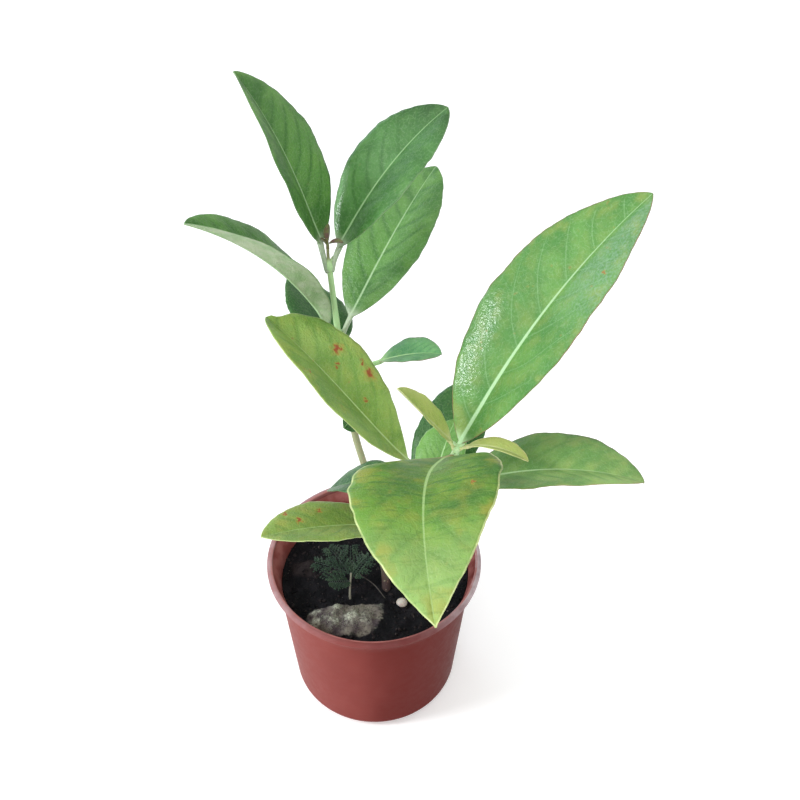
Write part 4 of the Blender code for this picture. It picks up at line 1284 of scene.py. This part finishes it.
def leaf_material(look, name, settings):
    """Living leaf: a waxy cuticle over translucent green, with paler veins, painted shade along the
    side veins and crease lines, a painted sheen where the look asks for it, and a matt underside.
    """
    material, tree, shader = new_material(
        f"waxy_leaf_{name}", IOR=1.45, Coat_Weight=look.coat, Coat_Roughness=0.16,
        Subsurface_Weight=0.08, Subsurface_Scale=1.2 * MM,
    )
    shader.inputs["Subsurface Radius"].default_value = (0.6, 1.0, 0.2)
    place = add(tree, "ShaderNodeTexCoord").outputs["Object"]
    blade = add(tree, "ShaderNodeAttribute", attribute_name="blade").outputs["Vector"]
    across, along, margin = add(tree, "ShaderNodeSeparateXYZ", {0: blade}).outputs
    vein = add(tree, "ShaderNodeAttribute", attribute_name="veins").outputs["Vector"]
    phase, share, upper = add(tree, "ShaderNodeSeparateXYZ", {0: vein}).outputs
    coarse = grain(tree, place, 26 * MM, 3.0)
    middle = grain(tree, place, 7 * MM, 4.0)
    fine = grain(tree, place, 1.1 * MM, 3.0)

    body = layer(tree, look.green, look.deep, (coarse, 0.38, 0.62))
    body = layer(tree, body, look.patch, (middle, 0.35, 0.75, 0.0, 0.3))
    if look.tip:
        body = layer(tree, body, look.tip, (share, 0.55, 1.0, 0.0, 0.9))
    near_margin = (margin, 1 * MM, 14 * MM, 1.0, 0.25)
    blotch = grain(tree, place, 14 * MM, 2.0)
    body = layer(tree, body, look.patch, (blotch, 0.50, 0.66, 0.0, look.patches), near_margin)

    # distance to the nearest side vein, as a share of their spacing
    beside = add(tree, "ShaderNodeMath", {0: phase, 1: 0.5}, operation="PINGPONG").outputs[0]
    fading = fade(tree, (margin, 1.5 * MM, 7 * MM))
    # painted shade in deep green: thin lines in the sunken side veins and wider strips beside them
    line = fade(tree, (beside, 0.01, 0.035, 1.0, 0.0), fading)
    vein_groove_shade = fade(tree, (beside, 0.02, 0.25, 1.0, 0.0), fading)
    groove_shade = fade(tree, (middle, 0.3, 0.7, 0.4 * look.groove_shade, look.groove_shade))
    body = layer(tree, body, look.deep, vein_groove_shade, groove_shade)
    # fine crease lines that run across the blade, most of them near its base, with painted shade
    # in the deep green along them
    flat = add(tree, "ShaderNodeCombineXYZ", {0: across, 1: along}).outputs[0]
    crease = fade(tree, (grain(tree, flat, 2.4 * MM, 3.0, (0.14, 1, 1)), 0.53, 0.62))
    shaded_creases = fade(tree, crease, (share, 0.35, 0.75, look.wrinkles, 0.25 * look.wrinkles))
    body = layer(tree, body, look.deep, shaded_creases)
    under = layer(tree, settings.underside, look.green, (middle, 0.3, 0.7, 0.0, 0.6))
    body = layer(tree, under, body, upper)
    # the vein lines are painted shade in the deep green unless the look gives its own vein colour
    lines = fade(tree, line, (upper, 0.0, 1.0, 0.1, look.veins))
    body = layer(tree, body, look.vein_colour or look.deep, lines)
    cells = {"Vector": place, "Scale": 0.5 / MM}
    net = add(tree, "ShaderNodeTexVoronoi", cells, feature="DISTANCE_TO_EDGE")
    net = fade(tree, (net.outputs["Distance"], 0.02, 0.14, 1.0, 0.0))
    body = layer(tree, body, look.rib_colour, net, (fine, 0.35, 0.7, 0.0, 0.16))

    from_rib = add(tree, "ShaderNodeMath", {0: across}, operation="ABSOLUTE").outputs[0]
    rib_width = fade(tree, (share, 0.0, 1.0, 1.15 * MM * look.rib, 0.28 * MM))
    inside_rib = {0: from_rib, 1: rib_width}
    inside_rib = add(tree, "ShaderNodeMath", inside_rib, operation="DIVIDE").outputs[0]
    on_rib = fade(tree, (inside_rib, 0.5, 1.0, 1.0, 0.0), (share, 0.3, 1.0, 0.9, 0.45))
    body = layer(tree, body, look.rib_colour, on_rib)
    stalk = look.stalk or look.rib_colour
    body = layer(tree, body, stalk, (along, 0.0, 7 * MM, 0.9, 0.0))

    # painted sheen: a bluish-grey patch on the outer end of the right half, broken up by fine noise
    if look.painted_sheen:
        sheen_patch = fade(tree, (across, 0.5 * MM, 5 * MM), (share, 0.42, 0.7, 0.0, look.painted_sheen))
        sheen_patch = fade(tree, sheen_patch, (fine, 0.40, 0.62, 0.25, 1.0))
        body = layer(tree, body, "#8fae9b", sheen_patch)

    uneven_rim = fade(tree, (middle, 0.3, 0.7, 0.35, 1.0))
    rim = fade(tree, (margin, look.rim * 0.5 * MM, look.rim * MM, 1.0, 0.0), uneven_rim)
    body = layer(tree, body, look.rim_colour, rim)

    body = blemished(tree, body, place, flat, look)
    shine = plus(tree, look.roughness - 0.08, (fine, 0.22))
    rough = add(tree, "ShaderNodeMix", {0: upper, 2: 0.62, 3: shine}, data_type="FLOAT").outputs[0]
    if look.gloss:
        reach, low, high = look.gloss
        from_margin = (margin, 0.6 * reach * MM, 1.3 * reach * MM, 1.0, 0.0)
        clean = fade(tree, from_margin, (across, -4 * MM, -1 * MM, 1.0, 0.0))
        clean = fade(tree, clean, (share, low, low + 0.08))
        clean = fade(tree, clean, (share, high - 0.12, high, 1.0, 0.0))
        coat = fade(tree, (clean, 0.0, 1.0, 0.03, look.coat), upper)
        tree.links.new(coat, shader.inputs["Coat Weight"])
    crinkle = grain(tree, place, 2.8 * MM, 2.0)
    relief = plus(tree, fine, (net, -0.35), (crinkle, 3.0), (shaded_creases, -1.2))
    connect(tree, shader, body, rough, relief, look.relief * MM)
    return material


class VIBURNUM_OT_leaves(bpy.types.Operator):
    """Grow each leaf from its stalk to its tip, with midrib, side veins and toothed margin"""

    bl_idname = "viburnum.leaves"
    bl_label = "Leaves"

    def execute(self, context):
        settings = context.scene.viburnum_leaves
        shoots = {name: Shoot(name, context.scene.viburnum_shoots) for name in ("tall", "short")}
        materials = {name: leaf_material(look, name, settings) for name, look in LOOKS.items()}
        for leaf in LEAVES:
            anchor, along, radius = shoots[leaf.shoot].at(leaf.height * MM)
            frames = blade_frames(leaf, anchor)
            rings, blade, veins = leaf_rings(leaf, frames, settings, anchor, along, radius)
            parts = Parts("blade", "veins")
            parts.add(*loft(rings), blade=blade, veins=veins)
            item = parts.to_object(f"blade_of_{leaf.name}", materials[leaf.look])
            finish_piece(item, LOOKS[leaf.look].slot, leaf.name)
        return {"FINISHED"}


# The tip bud


# heading, rise, length, width and droop of each young leaf round the bud
BUD_LEAVES = ((190, 62, 4.5, 2.2, 20), (300, 86, 11, 3.4, 6), (350, 18, 6.5, 3.4, 26))
BUD_LEAF_FOLD = 32
# height of the bud and how far its tip leans, in millimetres
BUD_HEIGHT, BUD_LEAN = 6.3, 0.3


class BudSettings(bpy.types.PropertyGroup):
    scale_colour: colour("Bud scales", "Colour of the brown scales", "#6d5048")
    leaf_colour: colour("Bud leaves", "Colour of the leaves that are opening", "#6f7240")


def bud_material(settings):
    """Opening bud: downy brown scales that turn green where the leaf has unrolled."""
    return mottled_material(
        "downy_bud_scale", settings.scale_colour, settings.leaf_colour,
        patch=(2.5 * MM, 3.0, 0.40, 0.60), fine=(0.4 * MM, 3.0), roughness=(0.45, 0.6),
        relief=0.08 * MM, IOR=1.45, Sheen_Weight=0.25,
    )


class VIBURNUM_OT_tip_bud(bpy.types.Operator):
    """Grow the tip bud and the small leaves that open round it"""

    bl_idname = "viburnum.tip_bud"
    bl_label = "Tip bud"

    def execute(self, context):
        foot = Vector(TALL_SHOOT[-1]) * MM
        radius = context.scene.viburnum_shoots.tall_tip
        rises = [(0, BUD_LEAN * s * s, BUD_HEIGHT * s) for s in np.linspace(-0.1, 1, 14)]
        spike = [foot + Vector(rise) * MM for rise in rises]
        sizes = [radius * (0.6 - 0.45 * s**1.6) for s in np.linspace(0, 0.99, 14)]
        parts = Parts()
        parts.add(*loft(tube_rings(spike, sizes, 16)))
        for index, (heading, rise, size, width, droop) in enumerate(BUD_LEAVES):
            leaf = Leaf(
                f"bud_{index}", "tall", 290, heading, rise, 0.8, size, width, "young",
                droop=droop, fold=BUD_LEAF_FOLD,
            )
            frames = blade_frames(leaf, foot + Vector((0, 0, (1.3 + 0.5 * index) * MM)))
            rows = [loft_bud_row(leaf, frames, step) for step in range(0, BLADE_STEPS + 1, 3)]
            parts.add(*loft(rows))
        item = parts.to_object("opening_bud", bud_material(context.scene.viburnum_bud))
        finish_piece(item, "bud", "tip_bud")
        return {"FINISHED"}


def loft_bud_row(leaf, frames, step):
    """One closed section of a bud leaf: a folded blade that is thick along its middle."""
    point, _, normal, side = (np.array(vector) for vector in frames[step])
    t = step / BLADE_STEPS
    half = max(half_width(leaf, t), 0.35 * MM * (1 - 0.7 * t))
    v = np.linspace(-1, 1, 9)
    lift = half * np.abs(v) * math.sin(math.radians(leaf.fold))
    thick = (0.28 + 0.25 * (1 - np.abs(v)) * (1 - t)) * MM
    top = point + np.outer(half * v, side) + np.outer(lift, normal)
    return np.vstack((top, (top - np.outer(thick, normal))[::-1]))


# The weed, the pebble and the dry stalk


WEED_FOOT = (-14.4, -18.0, 79.0)
WEED_BEND = (-14.6, -16.5, 88.0)
WEED_CROWN = (-13.4, -11.0, 98.0)
# heading, rise and length of each frond
WEED_FRONDS = ((160, 24, 21), (128, 38, 20), (88, 20, 21), (40, 44, 16), (198, 38, 13))
WEED_FROND_SPACING = 1.0 * MM
# how far a frond sags along its length, to its sides and under its root
FROND_SAG, FROND_SIDE_SAG, FROND_DROP = 0.28, 0.15, 0.3 * MM


class WeedSettings(bpy.types.PropertyGroup):
    stalk_radius: length("Stalk radius", "Radius of the weed's stalk", 0.6 * MM)
    leaflet: length("Leaflet", "Length of the leaflets", 1.9 * MM)
    green: colour("Weed green", "Colour of the weed's leaflets", "#183220")
    stalk: colour("Weed stalk", "Colour of the weed's stalk", "#8d8a78")


def weed_material(settings):
    """Seedling leaflets: thin and dull, dark green with paler patches."""
    return mottled_material(
        "seedling_leaflet", settings.green, "#354b33",
        patch=(5 * MM, 3.0, 0.35, 0.70), fine=(0.6 * MM, 2.0), roughness=(0.5, 0.75),
        relief=0.06 * MM, Specular_IOR_Level=0.4, Subsurface_Weight=0.1,
    )


def stalk_material(settings):
    """Seedling stalk: pale, whitish and a little fuzzy."""
    material, tree, shader = new_material(
        "seedling_stalk", Specular_IOR_Level=0.3, Sheen_Weight=0.2
    )
    place = add(tree, "ShaderNodeTexCoord").outputs["Object"]
    frond = add(tree, "ShaderNodeAttribute", attribute_name="frond").outputs["Vector"]
    frond = add(tree, "ShaderNodeSeparateXYZ", {0: frond}).outputs[0]
    patch = grain(tree, place, 3 * MM, 3.0, (1, 1, 0.3))
    body = layer(tree, settings.stalk, "#6a6a58", (patch, 0.35, 0.7))
    body = layer(tree, body, settings.green, frond)
    connect(tree, shader, body, fade(tree, (patch, 0.3, 0.7, 0.6, 0.8)), patch, 0.08 * MM)
    return material


def leaflet_tree(material):
    """One flat leaflet on each point, aimed along the point's aim and sized by its size."""
    tree, start = geometry_tree("leaflets", length=MM)
    kind, form = "GeometryNodeInputNamedAttribute", "FLOAT_VECTOR"
    aim = add(tree, kind, {"Name": "aim"}, data_type=form).outputs[0]
    size = add(tree, kind, {"Name": "size"}, data_type=form).outputs[0]
    ball = add(tree, "GeometryNodeMeshIcoSphere", {"Radius": 0.5, "Subdivisions": 2}).outputs[0]
    flat = {"Geometry": ball, "Translation": (0.5, 0, 0), "Scale": (1.0, 0.6, 0.12)}
    flat = add(tree, "GeometryNodeTransform", flat).outputs[0]
    turn = add(tree, "FunctionNodeAlignRotationToVector", {"Vector": aim}, axis="X").outputs[0]
    level = {"Rotation": turn, "Vector": (0.0, 0.0, 1.0)}
    ways = {"axis": "Z", "pivot_axis": "X"}
    level = add(tree, "FunctionNodeAlignRotationToVector", level, **ways).outputs[0]
    scale = {0: size, "Scale": start.outputs["Length"]}
    scale = add(tree, "ShaderNodeVectorMath", scale, operation="SCALE").outputs[0]
    values = {"Points": start.outputs[0], "Instance": flat, "Rotation": level, "Scale": scale}
    end_tree(tree, add(tree, "GeometryNodeInstanceOnPoints", values).outputs[0], material)
    return tree


def weed_frond(index, root, stalks):
    """Add a frond's rib and branches to the stalks, and give place, aim and size of leaflets."""
    heading, rise, reach = WEED_FRONDS[index]
    turn = Matrix.Rotation(math.radians(heading), 3, "Z")
    turn = turn @ Matrix.Rotation(-math.radians(rise), 3, "Y")

    def on_frond(x, y):
        sag = FROND_SAG * x * x / (reach * MM) + FROND_SIDE_SAG * abs(y) + FROND_DROP
        return root + turn @ Vector((x, y, -sag))

    rib = [on_frond(x, 0) for x in np.linspace(0, reach * 0.97, 16) * MM]
    stalks.add(*loft(tube_rings(rib, np.linspace(0.30, 0.12, 16) * MM, 6)), frond=(1, 0, 0))
    leaflets = []
    for order, t in enumerate(np.arange(0.12, 0.99, 0.09)):
        full = reach * MM * (0.38 - 0.36 * abs(t - 0.35))
        for hand in (-1, 1):
            luck = noise.noise((index * 3.1, order * 1.7, hand * 2.3))
            wide = full * (1 + 0.5 * luck)
            tip_x = min(reach * MM * t + wide * (0.45 + 0.4 * luck), reach * MM)
            start, end = on_frond(reach * MM * t, 0), on_frond(tip_x, hand * wide)
            middle = (start + end) / 2 + Vector((0, 0, 0.4 * MM))
            branch = tube_rings([start, middle, end], [0.14 * MM] * 3, 4)
            stalks.add(*loft(branch), frond=(1, 0, 0))
            out = (end - start).normalized()
            across = out.cross(turn @ Vector((0, 0, 1))).normalized()
            for step in (0.25, 0.5, 0.75, 1.0):
                for lean in (-0.9, 0.9) if step < 1 else (0.0,):
                    spot = Vector((order, step * 5, lean + hand * 3 + index))
                    drift = noise.noise_vector(spot) * 0.7
                    aim = (out + across * lean + drift).normalized()
                    grow = (0.75 + 0.5 * drift.x) * (1.15 - 0.35 * step)
                    leaflets.append((start.lerp(end, step * 0.95), aim, (grow, grow, grow)))
    return leaflets


class VIBURNUM_OT_weed(bpy.types.Operator):
    """Grow the little seedling, whose fronds are cut into leaflets"""

    bl_idname = "viburnum.weed"
    bl_label = "Weed seedling"

    def execute(self, context):
        settings = context.scene.viburnum_weed
        path = smooth_path((WEED_FOOT, WEED_BEND, WEED_CROWN), 1 * MM)
        radii = np.linspace(1.15, 0.8, len(path)) * settings.stalk_radius
        stalks = Parts("frond")
        stalks.add(*loft(tube_rings(path, radii, 12)))
        leaflets = []
        down = (path[-4] - path[-1]).normalized() * WEED_FROND_SPACING
        for index in range(len(WEED_FRONDS)):
            leaflets += weed_frond(index, path[-1] + down * (index + 0.5), stalks)
        places, aims, sizes = zip(*leaflets)
        seeds = Parts("aim", "size")
        seeds.add(places, [], aim=aims, size=sizes)
        points = seeds.to_object("leaflet_places", weed_material(settings))
        tree = leaflet_tree(points.data.materials[0])
        greens = run_geometry(points, tree, "weed_leaflets", length=settings.leaflet)
        bpy.data.objects.remove(points)
        stalk = stalks.to_object("weed_stalks", stalk_material(settings))
        finish_piece(greens, "weed", "weed_sprig")
        finish_piece(stalk, "weed")
        return {"FINISHED"}


# the dry stalk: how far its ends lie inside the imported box, how its middle stands out of line,
# its radius and its taper, all in millimetres
TWIG_INSET = 0.55
TWIG_BEND = (0.8, 0.8, 0.6)
TWIG_RADIUS, TWIG_TAPER = 0.38, 0.14


class GritSettings(bpy.types.PropertyGroup):
    quartz: colour("Pebble", "Colour of the white pebble", "#c6bfb4")
    straw: colour("Dry stalk", "Colour of the dry stalk", "#4f4a45")


def quartz_material(settings):
    """Milky quartz, water-worn: matt skin, a little light goes in."""
    return mottled_material(
        "milky_quartz", settings.quartz, "#a89c8c",
        patch=(2.5 * MM, 4.0, 0.45, 0.70), fine=(0.5 * MM, 3.0), roughness=(0.45, 0.65),
        relief=0.1 * MM, IOR=1.54, Subsurface_Weight=0.2, Subsurface_Scale=1 * MM,
    )


def straw_material(settings):
    """Dry grass stalk: grey-brown and matt, darker in patches."""
    return mottled_material(
        "dry_grass_stalk", settings.straw, "#35302c",
        patch=(3 * MM, 3.0, 0.35, 0.7), fine=(0.4 * MM, 3.0), roughness=(0.7, 0.9),
        relief=0.1 * MM, Specular_IOR_Level=0.3,
    )


class VIBURNUM_OT_grit(bpy.types.Operator):
    """Lay the white pebble and the dry stalk on the soil"""

    bl_idname = "viburnum.grit"
    bl_label = "Pebble and dry stalk"

    def execute(self, context):
        settings = context.scene.viburnum_grit
        low, high = (Vector(corner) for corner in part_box("white_pebble"))
        middle, half = (low + high) / 2, (high - low) / 2
        bpy.ops.mesh.primitive_ico_sphere_add(subdivisions=5, radius=1.0)
        item = context.active_object
        item.name = "quartz_pebble"
        for vert in item.data.vertices:
            lumps = 1 + 0.10 * noise.noise(vert.co * 1.3) + 0.03 * noise.noise(vert.co * 5)
            worn = Vector((vert.co.x, vert.co.y, max(vert.co.z, -0.8))) * lumps
            vert.co = middle + Vector(a * b for a, b in zip(worn, half))
        item.data.materials.append(quartz_material(settings))
        item.data.shade_smooth()
        finish_piece(item, "pebble", "white_pebble")

        low, high = (Vector(corner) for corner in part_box("dry_twig"))
        start = Vector((low.x, high.y, high.z - TWIG_INSET * MM))
        end = Vector((high.x, low.y, low.z + TWIG_INSET * MM))
        bend = (start + end) / 2 + Vector(TWIG_BEND) * MM
        path = smooth_path([start / MM, bend / MM, end / MM], 0.6 * MM)
        swings = [1 + 0.12 * math.sin(index * 1.7) for index in range(len(path))]
        radii = [
            (TWIG_RADIUS - TWIG_TAPER * index / len(path)) * MM * swing
            for index, swing in enumerate(swings)
        ]
        parts = Parts()
        parts.add(*loft(tube_rings(path, radii, 10)))
        stalk = parts.to_object("dry_stalk", straw_material(settings))
        finish_piece(stalk, "dry_stalk", "dry_twig")
        return {"FINISHED"}


# The stage


# name, place, aim, size in metres, power in watts and colour of each soft light
LIGHTS = (
    ("key", (-1.07, -0.28, 1.15), (0.0, 0.0, 0.2), 0.36, 8.0, "#f7faff"),
    ("low key", (-1.05, -0.16, 0.80), (0.02, 0.0, 0.29), 0.32, 4.2, "#f7faff"),
    ("fill", (-0.15, -1.35, 0.9), (0.0, 0.0, 0.15), 1.2, 9.0, "#fbfaff"),
    ("window", (-0.60, 1.10, 0.60), (0.05, 0.0, 0.25), 0.7, 3.0, "#dcebff"),
    ("overhead", (0.1, 0.1, 1.9), (0.0, 0.0, 0.0), 1.6, 10.0, "#ffffff"),
)
CAMERA_PLACE = (-0.018, -0.382, 0.560)
CAMERA_YAW, CAMERA_PITCH, CAMERA_ROLL = 4.78, 42.0, 0.4
CAMERA_LENS = 47.61
CAMERA_SENSOR = 36
FLOOR_DROP = 0.5 * MM


class StageSettings(bpy.types.PropertyGroup):
    floor: colour("Floor", "Colour of the plain floor", "#f6f6f4")
    world: colour("Air", "Colour of the light from all round", "#f7f8fa")
    world_strength: FloatProperty(
        name="Air strength", description="Strength of the light from all round", default=0.58, min=0
    )
    floor_glow: FloatProperty(
        name="Floor glow", description="Light that the floor adds", default=0.3, min=0
    )
    floor_size: length("Floor size", "Side of the square floor", 8.0)


def set_floor(scene, settings):
    """A plain square of matt paper, just under the pot."""
    half = settings.floor_size / 2
    mesh = bpy.data.meshes.new("floor")
    square = ((-half, -half), (half, -half), (half, half), (-half, half))
    corners = [(x, y, -FLOOR_DROP) for x, y in square]
    mesh.from_pydata(corners, [], [(0, 1, 2, 3)])
    floor = bpy.data.objects.new("floor", mesh)
    scene.collection.objects.link(floor)
    material, _, shader = new_material("matt_paper_floor", Roughness=0.9, Specular_IOR_Level=0.1)
    # the lit paper glows a little, so that the shadow on it stays soft and pale
    for label in ("Base Color", "Emission Color"):
        shader.inputs[label].default_value = settings.floor
    shader.inputs["Emission Strength"].default_value = settings.floor_glow
    mesh.materials.append(material)


def set_lights(scene, settings):
    """Even light from all round, and the soft lights of the table above."""
    world = bpy.data.worlds.new("air")
    world.use_nodes = True
    air = world.node_tree.nodes["Background"]
    air.inputs["Color"].default_value = settings.world
    air.inputs["Strength"].default_value = settings.world_strength
    scene.world = world
    scene.view_settings.view_transform = "Standard"
    for name, place, aim, size, power, tint in LIGHTS:
        light = bpy.data.lights.new(name, "AREA")
        light.shape = "DISK"
        light.size = size
        light.energy = power
        light.color = linear(tint)[:3]
        item = bpy.data.objects.new(name, light)
        item.location = place
        item.rotation_euler = (Vector(place) - Vector(aim)).to_track_quat("Z", "Y").to_euler()
        scene.collection.objects.link(item)


def set_camera(scene):
    """The camera that was fitted to the pot in the photo."""
    yaw, pitch, roll = (math.radians(a) for a in (CAMERA_YAW, CAMERA_PITCH, CAMERA_ROLL))
    level = math.cos(pitch)
    ahead = Vector((math.sin(yaw) * level, math.cos(yaw) * level, -math.sin(pitch)))
    right = ahead.cross(Vector((0, 0, 1))).normalized()
    up = right.cross(ahead)
    cosine, sine = math.cos(roll), math.sin(roll)
    right, up = right * cosine + up * sine, up * cosine - right * sine
    lens = bpy.data.cameras.new("camera")
    lens.lens = CAMERA_LENS
    lens.sensor_width = CAMERA_SENSOR
    lens.clip_start = 0.01
    camera = bpy.data.objects.new("camera", lens)
    turn = Matrix((right, up, -ahead)).transposed().to_4x4()
    camera.matrix_world = Matrix.Translation(CAMERA_PLACE) @ turn
    scene.collection.objects.link(camera)
    scene.camera = camera


class VIBURNUM_OT_stage(bpy.types.Operator):
    """Set the plain floor, the soft lights and the camera"""

    bl_idname = "viburnum.stage"
    bl_label = "Floor, lights and camera"

    def execute(self, context):
        scene, settings = context.scene, context.scene.viburnum_stage
        set_floor(scene, settings)
        set_lights(scene, settings)
        set_camera(scene)
        return {"FINISHED"}


# The panel and the registration


OPERATORS = (
    VIBURNUM_OT_pot,
    VIBURNUM_OT_soil,
    VIBURNUM_OT_shoots,
    VIBURNUM_OT_leaves,
    VIBURNUM_OT_tip_bud,
    VIBURNUM_OT_weed,
    VIBURNUM_OT_grit,
    VIBURNUM_OT_stage,
)
SETTINGS = {
    "viburnum_pot": PotSettings,
    "viburnum_soil": SoilSettings,
    "viburnum_shoots": ShootSettings,
    "viburnum_leaves": LeafSettings,
    "viburnum_bud": BudSettings,
    "viburnum_weed": WeedSettings,
    "viburnum_grit": GritSettings,
    "viburnum_stage": StageSettings,
}


class VIBURNUM_PT_panel(bpy.types.Panel):
    """Steps and settings of the potted viburnum"""

    bl_idname = "VIBURNUM_PT_panel"
    bl_label = "Potted viburnum"
    bl_space_type = "VIEW_3D"
    bl_region_type = "UI"
    bl_category = "Viburnum"

    def draw(self, context):
        for operator, (label, group) in zip(OPERATORS, SETTINGS.items()):
            box = self.layout.box()
            box.operator(operator.bl_idname)
            for setting in group.__annotations__:
                box.prop(getattr(context.scene, label), setting)


def register():
    for label, group in SETTINGS.items():
        bpy.utils.register_class(group)
        setattr(bpy.types.Scene, label, PointerProperty(type=group))
    for operator in OPERATORS:
        bpy.utils.register_class(operator)
    bpy.utils.register_class(VIBURNUM_PT_panel)


def unregister():
    bpy.utils.unregister_class(VIBURNUM_PT_panel)
    for operator in reversed(OPERATORS):
        bpy.utils.unregister_class(operator)
    for label, group in reversed(SETTINGS.items()):
        delattr(bpy.types.Scene, label)
        bpy.utils.unregister_class(group)


def main():
    register()
    for operator in OPERATORS:
        group, action = operator.bl_idname.split(".")
        getattr(getattr(bpy.ops, group), action)()


if __name__ == "__main__":
    main()
